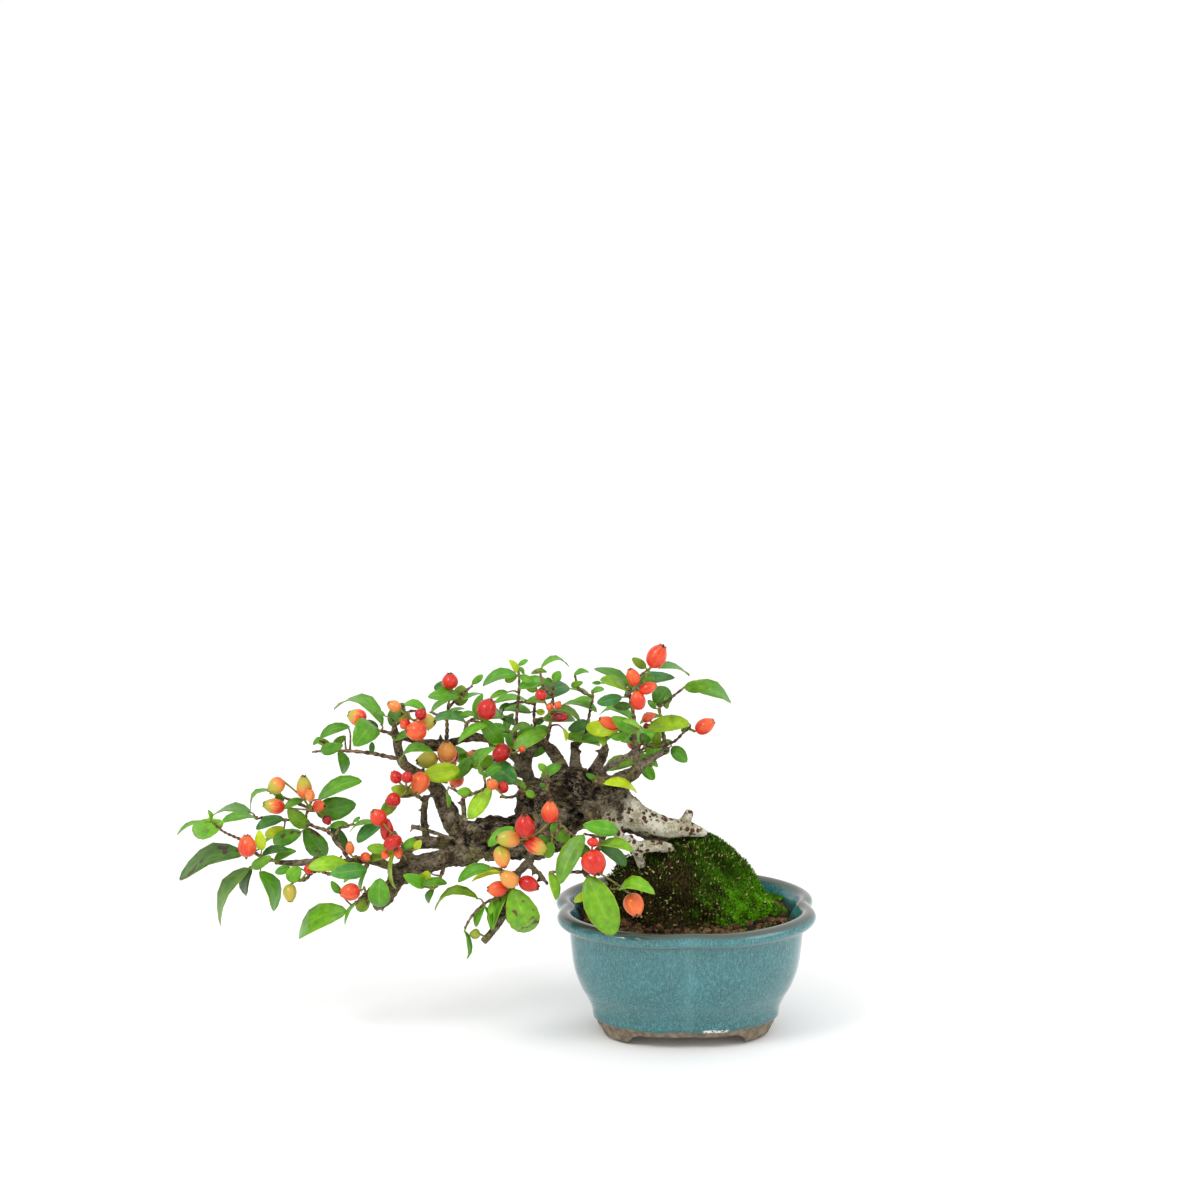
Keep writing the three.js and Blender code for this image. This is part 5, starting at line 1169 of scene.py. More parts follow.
@dataclass(frozen=True)
class LeafFinish:
    """Glossy green leaves with a pale midrib; the marks yellow, blue, light, spot and under vary them."""

    green: tuple = colour(78, 144, 12)
    blue_green: tuple = colour(52, 118, 50)
    yellow: tuple = colour(172, 186, 16)
    rib: tuple = colour(156, 192, 70)
    underside: tuple = colour(130, 164, 66)
    blemish: tuple = colour(92, 62, 34)
    vein_pairs: float = 5.5
    vein_slant: float = 0.42

    def material(self) -> Material:
        """The material."""
        paint = Paint("leaf", Specular_IOR_Level=0.32, Coat_Weight=0.05, Coat_Roughness=0.3)
        across, along = paint.picture()
        across = (across * 2.0 - 1.0).size()
        rib = across.step(0.13, 0.02)
        veins = ((along - across * self.vein_slant) * (self.vein_pairs * math.tau)).sine()
        veins = veins.step(0.6, 1.0) * across.step(0.98, 0.7)
        mottle = paint.noise(2.6, 3)
        base = paint.mixed(paint.marked("blue"), self.green, self.blue_green)
        base = paint.mixed(paint.marked("yellow") + (mottle - 0.5) * 0.3, base, self.yellow)
        base = paint.mixed(veins * 0.07, base, self.rib)
        base = paint.mixed(rib * 0.2, base, self.rib)
        base = paint.mixed(paint.marked("under") * 0.65, base, self.underside)
        base = paint.mixed(across.step(0.86, 1.0) * 0.4, base, self.yellow)
        spot = paint.noise(3.4, 1).step(0.6, 0.66) * paint.marked("spot")
        base = paint.mixed(spot, base, self.blemish)
        shade = paint.marked("light") * (0.6 + mottle * 0.8)
        paint.put(Base_Color=paint.scaled(base, shade), Roughness=0.3 + mottle * 0.16)
        paint.bump((1.0 - rib) * 0.6 - veins * 0.25 + paint.noise(0.5, 2) * 0.12, 0.12, 0.7)
        return paint.material


@dataclass(frozen=True)
class BerryFinish:
    """Berries that ripen from green through orange to dark red, with a dark star at the calyx."""

    stages: tuple = (
        (0.0, colour(128, 146, 36)), (0.2, colour(176, 166, 54)), (0.36, colour(216, 142, 64)),
        (0.52, colour(222, 98, 44)), (0.68, colour(206, 44, 18)), (0.86, colour(180, 14, 11)),
        (1.0, colour(104, 4, 10)))
    star: tuple = colour(42, 26, 18)
    ring: tuple = colour(126, 84, 44)
    dots: tuple = colour(236, 176, 110)

    def material(self) -> Material:
        """The material."""
        paint = Paint("berry", Specular_IOR_Level=0.3, Coat_Weight=0.3, Coat_Roughness=0.08)
        around, along = paint.picture()
        cloud = paint.noise(2.4, 2)
        streaks = paint.streaks(around, along)
        turning = (along + (cloud - 0.5) * 0.4 + (streaks - 0.5) * 0.8).step(0.2, 0.85)
        at_stalk = paint.marked("ripe_stalk")
        ripe = at_stalk + (paint.marked("ripe_calyx") - at_stalk) * turning
        ripe = ripe + (streaks - 0.56) * 0.4 + (cloud - 0.56) * 0.24
        skin = self.stages[0][1]
        for (low, unused), (high, shade) in zip(self.stages, self.stages[1:]):
            skin = paint.mixed(ripe.step(low, high), skin, shade)
        skin = paint.mixed(paint.spots(0.62).step(0.16, 0.08) * 0.25, skin, self.dots)
        lobed = along + (around * (5 * math.tau)).sine() * 0.022
        calyx = lobed.step(0.87, 0.89)
        skin = paint.mixed(lobed.step(0.81, 0.86) * 0.6, skin, self.ring)
        skin = paint.mixed(calyx, skin, self.star)
        paint.put(Base_Color=skin, Roughness=0.28 + calyx * 0.55 + cloud * 0.08)
        paint.bump(paint.noise(0.35, 2) * (0.25 + calyx), 0.08, 0.5)
        return paint.material


@dataclass(frozen=True)
class BarkFinish:
    """Grey-brown bark with painted shade in the hollows of its relief, and smooth buff roots with brown
    spots where the mark pale is 1.
    """

    grey: tuple = colour(154, 140, 116)
    brown: tuple = colour(72, 56, 37)
    dark: tuple = colour(16, 11, 5)
    lichen: tuple = colour(158, 150, 92)
    buff: tuple = colour(206, 202, 182)
    buff_shade: tuple = colour(144, 136, 108)
    lenticel: tuple = colour(84, 54, 36)

    def material(self) -> Material:
        """The material."""
        paint = Paint("bark", Roughness=0.85, Specular_IOR_Level=0.15)
        patches = paint.noise(6.0, 4, rough=0.6)
        fine = paint.noise(0.7, 4, rough=0.65)
        cracks = paint.noise(2.6, 6, (0.7, 1.5, 1.3), 0.72)
        lines = (paint.noise(3.6, 6, (0.6, 1.4, 1.3), 0.66) - 0.5).size()
        burl = paint.marked("burl")
        grey = (patches * 0.6 + fine * 0.4 - burl * 0.04).step(0.4, 0.56)
        bark = paint.mixed(grey, self.brown, self.grey)
        bark = paint.mixed(paint.noise(7.0, 4).step(0.54, 0.64) * 0.6, bark, self.lichen)
        split = (lines.step(0.045, 0.01) * 0.8 + cracks.step(0.5, 0.4) * 0.75) * (0.5 + burl * 0.5)
        # Dark cracks of the bark, and painted shade in the hollows of its relief.
        bark = paint.mixed(split + paint.marked("hollow_shade"), bark, self.dark)
        buff = paint.mixed((patches * 0.6 + fine * 0.4).step(0.42, 0.58) * 0.9, self.buff, self.buff_shade)
        spots = (paint.spots(1.9) + paint.noise(0.8, 2) * 0.45).step(0.72, 0.62)
        spots = spots * paint.noise(4.5, 2).step(0.44, 0.5)
        buff = paint.mixed(spots, buff, self.lenticel)
        pale = (paint.marked("pale") + (patches - 0.5) * 0.9).step(0.4, 0.56)
        paint.put(Base_Color=paint.mixed(pale, bark, buff))
        rough = cracks * 1.1 + lines.least(0.12) * 4.0
        paint.bump(rough * (1.0 - pale * 0.8) + fine * 0.3 + spots * pale * 0.35, 1.2, 1.0)
        return paint.material


@dataclass(frozen=True)
class TwigFinish:
    """Thin twigs and stalks, red-brown with greener ends."""

    brown: tuple = colour(74, 58, 42)
    red: tuple = colour(140, 116, 88)
    green: tuple = colour(140, 148, 48)

    def material(self) -> Material:
        """The material."""
        paint = Paint("twig", Roughness=0.8, Specular_IOR_Level=0.2)
        bark = paint.mixed(paint.noise(1.3, 4).step(0.42, 0.6), self.brown, self.red)
        paint.put(Base_Color=paint.mixed(paint.marked("fresh"), bark, self.green))
        paint.bump(paint.noise(0.8, 4), 0.5, 1.0)
        return paint.material


@dataclass(frozen=True)
class GlazeFinish:
    """Streaky teal glaze that breaks brown on edges, over a brown-grey clay foot, with a painted highlight
    along the lobes' creases and a brown tint with painted shade under the lip.
    """

    teal: tuple = colour(44, 116, 122)
    deep: tuple = colour(22, 80, 82)
    light: tuple = colour(96, 158, 156)
    # Brown of the glaze breaking on the lip, also used as painted shade in the band under the lip.
    break_brown_and_lip_shade: tuple = colour(62, 66, 52)
    clay: tuple = colour(142, 127, 106)
    clay_dark: tuple = colour(100, 88, 72)
    chip: tuple = colour(222, 226, 220)
    chip_place: tuple[float, float] = (9.5, 6.9)
    glaze_foot: float = 6.6

    def material(self) -> Material:
        """The material."""
        paint = Paint("glaze", Coat_Weight=0.6, Coat_Roughness=0.08)
        x, y, z = paint.axes()
        streaks = paint.noise(0.55, 3, (1, 1, 0.25), 0.6)
        clouds = paint.noise(9.0, 3)
        specks = paint.noise(0.36, 2, (1, 1, 0.6))
        tone = clouds * 0.15 + streaks * 0.35 + specks * 0.5 + (z - 26.0) * 0.0012
        base = paint.mixed(tone.step(0.36, 0.6), self.deep, self.teal)
        base = paint.mixed((streaks * 0.5 + specks * 0.5).step(0.5, 0.62) * 0.4, base, self.light)
        # Painted highlight: a lighter line along the creases where the lobes meet.
        base = paint.mixed(paint.marked("crease_highlight") * 0.22, base, self.light)
        # The lip's top breaks brown; the band under the lip gets the same colour, partly a brown tint and
        # partly painted shade.
        lip = z.step(44.0, 45.6) + z.step(42.6, 41.0) * z.step(38.6, 40.6) * 0.6
        base = paint.mixed(lip * (0.5 + specks * 0.9), base, self.break_brown_and_lip_shade)
        wave = (paint.noise(7.0, 2, (1, 1, 0)) - 0.5) * 2.2
        above_foot = z + wave - self.glaze_foot
        glazed = above_foot.step(-0.25, 0.25)
        rim = above_foot.step(1.5, 0.2) * glazed
        base = paint.mixed(rim * 0.6, base, self.deep)
        clay = paint.mixed(paint.noise(2.0, 4).step(0.35, 0.7), self.clay_dark, self.clay)
        across, level = self.chip_place
        chip = (x - (SHIFT[0] + across)).size().step(4.8, 3.6) * (y - SHIFT[1]).step(-10.0, -14.0)
        chip = chip * (z - level + wave * 0.3).size().step(0.75, 0.45) * paint.noise(0.9, 2).step(0.4, 0.5)
        base = paint.mixed(chip, paint.mixed(glazed, clay, base), self.chip)
        paint.put(Base_Color=base, Roughness=0.82 - glazed * 0.62, Coat_Weight=glazed * 0.75)
        paint.bump(clouds * 0.6 + streaks * 0.12 + paint.noise(0.8, 3) * (1.0 - glazed) * 0.5, 0.3, 0.5)
        return paint.material


@dataclass(frozen=True)
class SoilFinish:
    """Dark, gritty potting soil; each grain takes its tone from the mark tone."""

    dark: tuple = colour(34, 25, 15)
    brown: tuple = colour(88, 62, 37)
    tan: tuple = colour(150, 118, 76)

    def material(self) -> Material:
        """The material."""
        paint = Paint("soil", Roughness=0.95, Specular_IOR_Level=0.2)
        grains = paint.noise(1.0, 4, rough=0.7)
        base = paint.mixed((grains + paint.marked("tone") - 0.4).step(0.3, 0.75), self.dark, self.brown)
        light = (paint.noise(0.7, 2) + paint.marked("tone") * 0.3 - 0.1).step(0.6, 0.75)
        paint.put(Base_Color=paint.mixed(light * 0.6, base, self.tan))
        paint.bump(grains, 0.5, 1.0)
        return paint.material


@dataclass(frozen=True)
class MossFinish:
    """Moss over dark peat; the mark green says how mossy a place is."""

    peat: tuple = colour(24, 20, 10)
    earth: tuple = colour(84, 66, 34)
    dull: tuple = colour(46, 66, 12)
    bright: tuple = colour(118, 204, 20)
    straw: tuple = colour(222, 208, 140)

    def material(self) -> Material:
        """The material."""
        paint = Paint("moss", Roughness=0.95, Specular_IOR_Level=0.08)
        grain = paint.noise(0.9, 4, rough=0.7)
        patches = paint.noise(3.5, 3)
        peat = paint.mixed(grain.step(0.42, 0.7), self.peat, self.earth)
        moss = paint.mixed((grain + patches * 0.3).step(0.45, 0.8), self.dull, self.bright)
        moss = paint.mixed(paint.marked("bright"), self.dull, moss)
        green = (paint.marked("green") + (patches - 0.5) * 0.9 + (grain - 0.5) * 0.6).step(0.3, 0.7)
        base = paint.mixed(green, peat, moss)
        paint.put(Base_Color=paint.mixed(paint.marked("straw"), base, self.straw))
        paint.bump(grain, 0.9, 1.0)
        return paint.material


@dataclass(frozen=True)
class PlasticFinish:
    """Dull black plastic of the drain mesh."""

    shade: tuple = colour(36, 38, 36)
    rubbed: tuple = colour(70, 70, 66)

    def material(self) -> Material:
        """The material."""
        paint = Paint("mesh_plastic")
        rub = paint.noise(1.2, 3)
        paint.put(Base_Color=paint.mixed(rub * 0.3, self.shade, self.rubbed), Roughness=0.5 + rub * 0.2)
        return paint.material


# Pieces


def finish_piece(obj: Object, material: Material, slot: str, *nodes: str) -> None:
    """Dresses a piece, lets it ride on the root body, and hides the CAD nodes that it replaces.

    Args:
        obj: The piece.
        material: Its finish.
        slot: The piece's slot name; not used.
        nodes: The CAD nodes that it replaces.
    """
    obj.data.materials.clear()
    obj.data.materials.append(material)
    if nodes:
        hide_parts(*nodes)
    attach(obj, "root")
    log.info("%s: %d faces", obj.name, len(obj.data.polygons))


@dataclass
class Pot:
    """The lobed pot with its rolled lip, four feet and drain hole."""

    steps: int = 160
    ease: int = 4
    crease_spread: float = 3.2
    sharp_edge: float = 38.0
    passage_margin: float = 1.2
    passage_bevel: float = 4.0

    def build(self) -> None:
        """Models and dresses the pot."""
        pot = self.wall()
        for cutter in self.cutters():
            face_outwards(pot)
            cut_out(pot, cutter)
        face_outwards(pot)
        smooth(pot, self.sharp_edge)
        x, y, unused = model_corners(pot).T
        angles = np.arctan2(y / POT_HALF_DEPTH, x / POT_HALF_WIDTH)
        # Where the glaze's painted highlight runs: along the creases where the lobes meet.
        mark(pot.data, "crease_highlight", np.exp(-((off_axis(angles) / self.crease_spread) ** 2)))
        finish_piece(pot, GlazeFinish().material(), "glazed_pot", "pot")

    def profile(self) -> list[tuple[float, float]]:
        """Levels and insets from the foot, over the lip and down to the floor."""
        body, lip = self.eased(POT_BODY, self.ease), self.eased(POT_LIP, self.ease // 2)
        return [*POT_FOOT, *body, *lip, *POT_INSIDE]

    @staticmethod
    def eased(places: list[tuple[float, float]], parts: int) -> list[tuple[float, float]]:
        """A smooth curve through profile places."""
        curve = Run.through(*(((level, inset, 0.0), 1.0) for level, inset in places)).eased(parts)
        return [(float(level), float(inset)) for level, inset, unused in curve.points]

    def wall(self) -> Object:
        """The wall and floor: a lobed disc, extruded and resized level by level."""
        profile = self.profile()
        bpy.ops.mesh.primitive_circle_add(vertices=self.steps, radius=1, fill_type="NGON")
        pot = named("pot_glazed")
        place_corners(pot.data, to_world(outline_ring(*profile[0], self.steps)))
        bpy.ops.object.mode_set(mode="EDIT")
        bpy.ops.mesh.select_all(action="SELECT")
        centre = Vector(to_world(np.zeros(3)))
        for (level, inset), (next_level, next_inset) in zip(profile, profile[1:]):
            rise = {"value": (0, 0, (next_level - level) * MM)}
            bpy.ops.mesh.extrude_region_move(TRANSFORM_OT_translate=rise)
            across = (POT_HALF_WIDTH - next_inset) / (POT_HALF_WIDTH - inset)
            deep = (POT_HALF_DEPTH - next_inset) / (POT_HALF_DEPTH - inset)
            middle = centre + Vector((0, 0, next_level * MM))
            bpy.ops.transform.resize(value=(across, deep, 1), center_override=middle)
        bpy.ops.object.mode_set(mode="OBJECT")
        return pot

    def cutters(self) -> list[Object]:
        """The two foot passages and the drain hole."""
        through = self.passage(FOOT_ARCH["front_half"] + self.passage_margin, POT_HALF_DEPTH + 4, 1)
        across = self.passage(POT_HALF_WIDTH + 4, FOOT_ARCH["side_half"] + self.passage_margin, 0)
        return [through, across, self.drain()]

    def passage(self, half_x: float, half_y: float, long_axis: int) -> Object:
        """A bar with rounded upper edges that cuts a passage between the feet."""
        height = FOOT_ARCH["height"]
        bar = block("passage", (0, 0, height / 2 - 2.5), (2 * half_x, 2 * half_y, height + 5))
        with shape_of(bar) as shape:
            edges = [edge for edge in shape.edges if self.is_upper(edge, long_axis)]
            bmesh.ops.bevel(shape, geom=edges, offset=self.passage_bevel * MM, segments=8, profile=0.5,
                            affect="EDGES")
        return bar

    @staticmethod
    def is_upper(edge: bmesh.types.BMEdge, axis: int) -> bool:
        """Whether an edge is an upper one that runs along an axis."""
        one, other = (corner.co for corner in edge.verts)
        return min(one.z, other.z) > 0 and abs(one[axis] - other[axis]) > 0.5 * (one - other).length

    def drain(self) -> Object:
        """The cylinder that cuts the drain hole."""
        middle = to_world(np.array([0, 0, FLOOR_TOP / 2]))
        bpy.ops.mesh.primitive_cylinder_add(
            vertices=48, radius=DRAIN_RADIUS * MM, depth=2 * FLOOR_TOP * MM, location=middle)
        return baked("drain")


@dataclass
class Soil:
    """Gritty potting soil with a rough surface and its loose grains."""

    steps: int = 120
    rows: int = 34
    grains: int = 950

    def build(self, mound: "MossMound") -> None:
        """Models and dresses the soil and its grains."""
        material = SoilFinish().material()
        soil = self.bed()
        mark(soil.data, "tone", np.full(len(soil.data.vertices), 0.35))
        finish_piece(soil, material, "soil", "soil")
        finish_piece(self.grit(mound), material, "soil")

    @staticmethod
    def height(x: np.ndarray | float, y: np.ndarray | float) -> np.ndarray:
        """The lumpy level of the soil."""
        return (SOIL_LEVEL + 0.5 * np.sin(0.31 * x + 1.3) * np.cos(0.27 * y)
                + 0.32 * np.sin(0.9 * x + 0.7 * y) * np.sin(0.8 * y - 0.5 * x + 2))

    def bed(self) -> Object:
        """The body of soil inside the pot, over the drain mesh."""
        levels = [FLOOR_TOP + SOIL_GAP, 16, 26, 34, SOIL_LEVEL - 0.9]
        rings = [outline_ring(level, inner_inset(level) + SOIL_GAP, self.steps) for level in levels]
        edge = rings[-1]
        noise = np.random.default_rng(SEED)
        for inward in np.linspace(0.985, 0.04, self.rows):
            ring = edge * (inward, inward, 1)
            ring[:, 2] = self.height(ring[:, 0], ring[:, 1]) + noise.normal(0, 0.16, self.steps)
            rings.append(ring)
        soil = mesh_from("potting_soil", np.vstack(rings), ring_faces(len(rings), self.steps))
        side, top = 2 * MESH_ROOM["half"], MESH_ROOM["top"]
        cut_out(soil, block("mesh_room", (0, 0, top - 5), (side, side, 10)))
        smooth(soil, 60)
        return soil

    def grit(self, mound: "MossMound") -> Object:
        """Loose grains strewn over the soil round the mound."""
        bpy.ops.mesh.primitive_ico_sphere_add(subdivisions=1, radius=1)
        grain = Master.taken_from(named("grain"))
        chance = np.random.default_rng(SEED + 1)
        sets, tones = [], []
        while len(sets) < self.grains:
            angle, inward = chance.uniform(0, math.tau), math.sqrt(chance.uniform(0.1, 0.93))
            x, y = outline_point(angle, inner_inset(SOIL_LEVEL) + 1.2)
            x, y = x * inward, y * inward
            if mound.covers(x, y):
                continue
            size = 0.45 + 1.35 * chance.uniform(0, 1) ** 1.6
            size = size * chance.uniform(0.8, 1.2, 3) * (1, 1, 0.75)
            turn = np.array(Matrix.Rotation(chance.uniform(0, math.tau), 3, "Z"))
            jagged = grain.places * chance.uniform(0.82, 1.12, (len(grain.places), 1))
            sets.append((jagged * size) @ turn.T + (x, y, self.height(x, y) + 0.35 * size[2]))
            tones.append(chance.uniform(0, 1))
        return grain.copies("soil_grit", sets, tone=np.array(tones))


@dataclass
class MossMound:
    """The steep mound of peat and moss that the roots grip, and the fine tufts on it."""

    steps: int = 128
    rows: int = 48
    tufts: int = 17000
    straws: int = 800
    fresh_share: float = 0.16
    sprigs: int = 34
    clump: tuple = (28.0, 17.0, 7.0, 5.0)
    clump_sprigs: int = 90
    blades_per_sprig: int = 9
    body_green: float = 0.7
    lumps: tuple = ((5.0, 1.5), (1.6, 0.9))
    foot_reach: tuple = (29, 26, 21, 14)

    def build(self) -> None:
        """Models and dresses the mound and its moss."""
        material = MossFinish().material()
        mound = self.mound()
        places = model_corners(mound)
        mark(mound.data, "green", self.greenness(places) * self.body_green)
        mark(mound.data, "bright", self.brightness(places))
        mark(mound.data, "straw", np.zeros(len(places)))
        finish_piece(mound, material, "moss", "moss_mound")
        finish_piece(self.carpet(), material, "moss")

    def ring(self, level: float, grow: float = 0.0) -> np.ndarray:
        """The mound's outline at a row of MOUND_LEVELS, or between two rows."""
        index = np.arange(len(MOUND_LEVELS))
        height, left, right, front, back = (np.interp(level, index, row) for row in zip(*MOUND_LEVELS))
        angle = np.arange(self.steps) * math.tau / self.steps
        lump = 1 + 0.05 * np.sin(3 * angle + level * 1.7) + 0.035 * np.sin(7 * angle + level * 2.3)
        lump += 0.02 * np.sin(13 * angle + level * 3.1) + 0.014 * np.sin(23 * angle - level * 4.7)
        x_reach = np.where(np.cos(angle) > 0, right - MOUND_TOP[0], left + MOUND_TOP[0]) * lump + grow
        y_reach = np.where(np.sin(angle) > 0, back - MOUND_TOP[1], front + MOUND_TOP[1]) * lump + grow
        return np.column_stack([
            MOUND_TOP[0] + x_reach * np.cos(angle), MOUND_TOP[1] + y_reach * np.sin(angle),
            np.full(self.steps, height)])

    def covers(self, x: float, y: float) -> bool:
        """Whether a place of the soil lies under the mound."""
        right, left, back, front = self.foot_reach
        reach_x = right if x > MOUND_TOP[0] else left
        reach_y = back if y > MOUND_TOP[1] else front
        return ((x - MOUND_TOP[0]) / reach_x) ** 2 + ((y - MOUND_TOP[1]) / reach_y) ** 2 < 1

    def mound(self) -> Object:
        """The lumpy body of the mound."""
        top_level = len(MOUND_LEVELS) - 1
        rings = [self.ring(level) for level in np.linspace(0, top_level, self.rows)]
        last = rings[-1]
        rings.extend(self.crown(last, share) for share in (0.75, 0.5, 0.25, 0.06))
        mound = mesh_from("moss_mound_body", np.vstack(rings), ring_faces(len(rings), self.steps))
        roughen(mound, self.lumps, 0.6)
        face_outwards(mound)
        return mound

    @staticmethod
    def greenness(places: np.ndarray) -> np.ndarray:
        """How mossy each place is: the right slope is greenest, the left is mostly dark peat."""
        x, y, z = places.T
        right = np.clip((x + 8 + 0.35 * (z - 52)) / 24, 0, 1)
        back = np.clip((y - 8) / 16, 0, 1) * 0.7
        patches = 0.3 * np.sin(0.42 * x + 0.3 * z) * np.sin(0.5 * z - 0.2 * y + 1)
        patches = patches + 0.15 * np.sin(1.1 * x + 0.9 * z)
        return np.clip(np.maximum(right, back) + patches, 0.15, 1)

    @staticmethod
    def brightness(places: np.ndarray) -> np.ndarray:
        """How fresh the moss is: brightest low on the right slope and at its foot."""
        x, unused, z = places.T
        low = np.clip((60 - z) / 14, 0, 1) * np.clip((x - 2) / 12, 0, 1)
        return np.clip(0.12 + 0.75 * low + 0.16 * np.sin(0.7 * x + 0.55 * z), 0.05, 1)

    def surface_place(self, chance: np.random.Generator) -> np.ndarray:
        """A place drawn on the mound's slope, or now and then on its crown."""
        top_level = len(MOUND_LEVELS) - 1
        step = chance.integers(self.steps)
        if chance.uniform(0, 1) < 0.14:
            edge = self.ring(top_level, 0.15)[step:step + 1]
            return self.crown(edge, math.sqrt(chance.uniform(0, 1)))[0]
        return self.ring(top_level * chance.uniform(0, 1) ** 0.9, 0.15)[step]

    @staticmethod
    def crown(edge: np.ndarray, share: float) -> np.ndarray:
        """Places of the rounded crown, a share of the way out from the top to its edge."""
        return MOUND_TOP + (edge - MOUND_TOP) * (share, share, share**2)

    @staticmethod
    def sprout(blade: np.ndarray, foot: np.ndarray, away: np.ndarray, size: tuple,
               chance: np.random.Generator, spread: float = 0.35) -> np.ndarray:
        """A blade's corners, standing on its foot and leaning away.

        Args:
            blade: The upright blade's corners.
            foot: Where it stands.
            away: The way it leans.
            size: How wide and how tall it is.
            chance: The draw for its lean.
            spread: How much the lean varies.

        Returns:
            The corners in mm.
        """
        aim = unit(away + chance.normal(0, spread, 3))
        turn = np.array(Vector(aim).to_track_quat("Z", "Y").to_matrix())
        return (blade * (size[0], size[0], size[1])) @ turn.T + foot

    def carpet(self) -> Object:
        """Fine tufts over the mossy places, dry straws among them and sprigs on the soil."""
        bpy.ops.mesh.primitive_cone_add(vertices=3, radius1=0.17, radius2=0, depth=1, location=(0, 0, 0.5))
        blade = Master.taken_from(baked("tuft"))
        chance = np.random.default_rng(SEED + 2)
        sets, marks = [], []
        for number in range(self.tufts + self.straws):
            foot = self.surface_place(chance)
            green = float(self.greenness(foot[None])[0])
            is_straw = number >= self.tufts
            if foot[2] < SOIL_LEVEL - 1 or (not is_straw and chance.uniform(0, 1) > 0.2 + green):
                continue
            outward = unit(foot - (MOUND_TOP[0], MOUND_TOP[1], 40.0)) + (0, 0, 0.4)
            tall = chance.uniform(0.6, 1.7) if is_straw else chance.uniform(0.5, 1.6)
            wide = chance.uniform(1.2, 3.0) if is_straw else chance.uniform(0.7, 1.5)
            sets.append(self.sprout(blade.places, foot, outward, (wide, tall), chance, 0.4 + 0.4 * is_straw))
            bright = float(self.brightness(foot[None])[0]) * chance.uniform(0.2, 1.7)
            if chance.uniform(0, 1) < self.fresh_share:
                green, bright = 1.0, chance.uniform(0.6, 1.2)
            marks.append((0.5 + 0.5 * green, bright, chance.uniform(0.3, 1.0) if is_straw else 0.0))
        for foot in self.sprig_places(chance):
            for unused in range(self.blades_per_sprig):
                place = foot + np.append(chance.normal(0, 0.45, 2), 0.0)
                sets.append(self.sprout(blade.places, place, np.array([0, 0, 1.0]), (1.3, 1.6), chance))
                marks.append((1.0, chance.uniform(0.7, 1.3), 0.0))
        green, bright, straw = np.clip(np.array(marks), 0, 1).T
        return blade.copies("moss_tufts", sets, green=green, bright=bright, straw=straw)

    def sprig_places(self, chance: np.random.Generator) -> list[np.ndarray]:
        """Where sprigs stand: strewn over the bare soil, and in a clump at the back right."""
        places = []
        while len(places) < self.sprigs:
            x, y = outline_point(chance.uniform(0, math.tau), inner_inset(SOIL_LEVEL) + 2.5)
            inward = chance.uniform(0.75, 1)
            if not self.covers(x * inward, y * inward):
                places.append(np.array([x * inward, y * inward, Soil.height(x * inward, y * inward)]))
        middle_x, middle_y, half_x, half_y = self.clump
        for unused in range(self.clump_sprigs):
            angle, inward = chance.uniform(0, math.tau), math.sqrt(chance.uniform(0, 1))
            x, y = middle_x + half_x * inward * math.cos(angle), middle_y + half_y * inward * math.sin(angle)
            places.append(np.array([x, y, Soil.height(x, y) + 1.6 * (1 - inward)]))
        return places


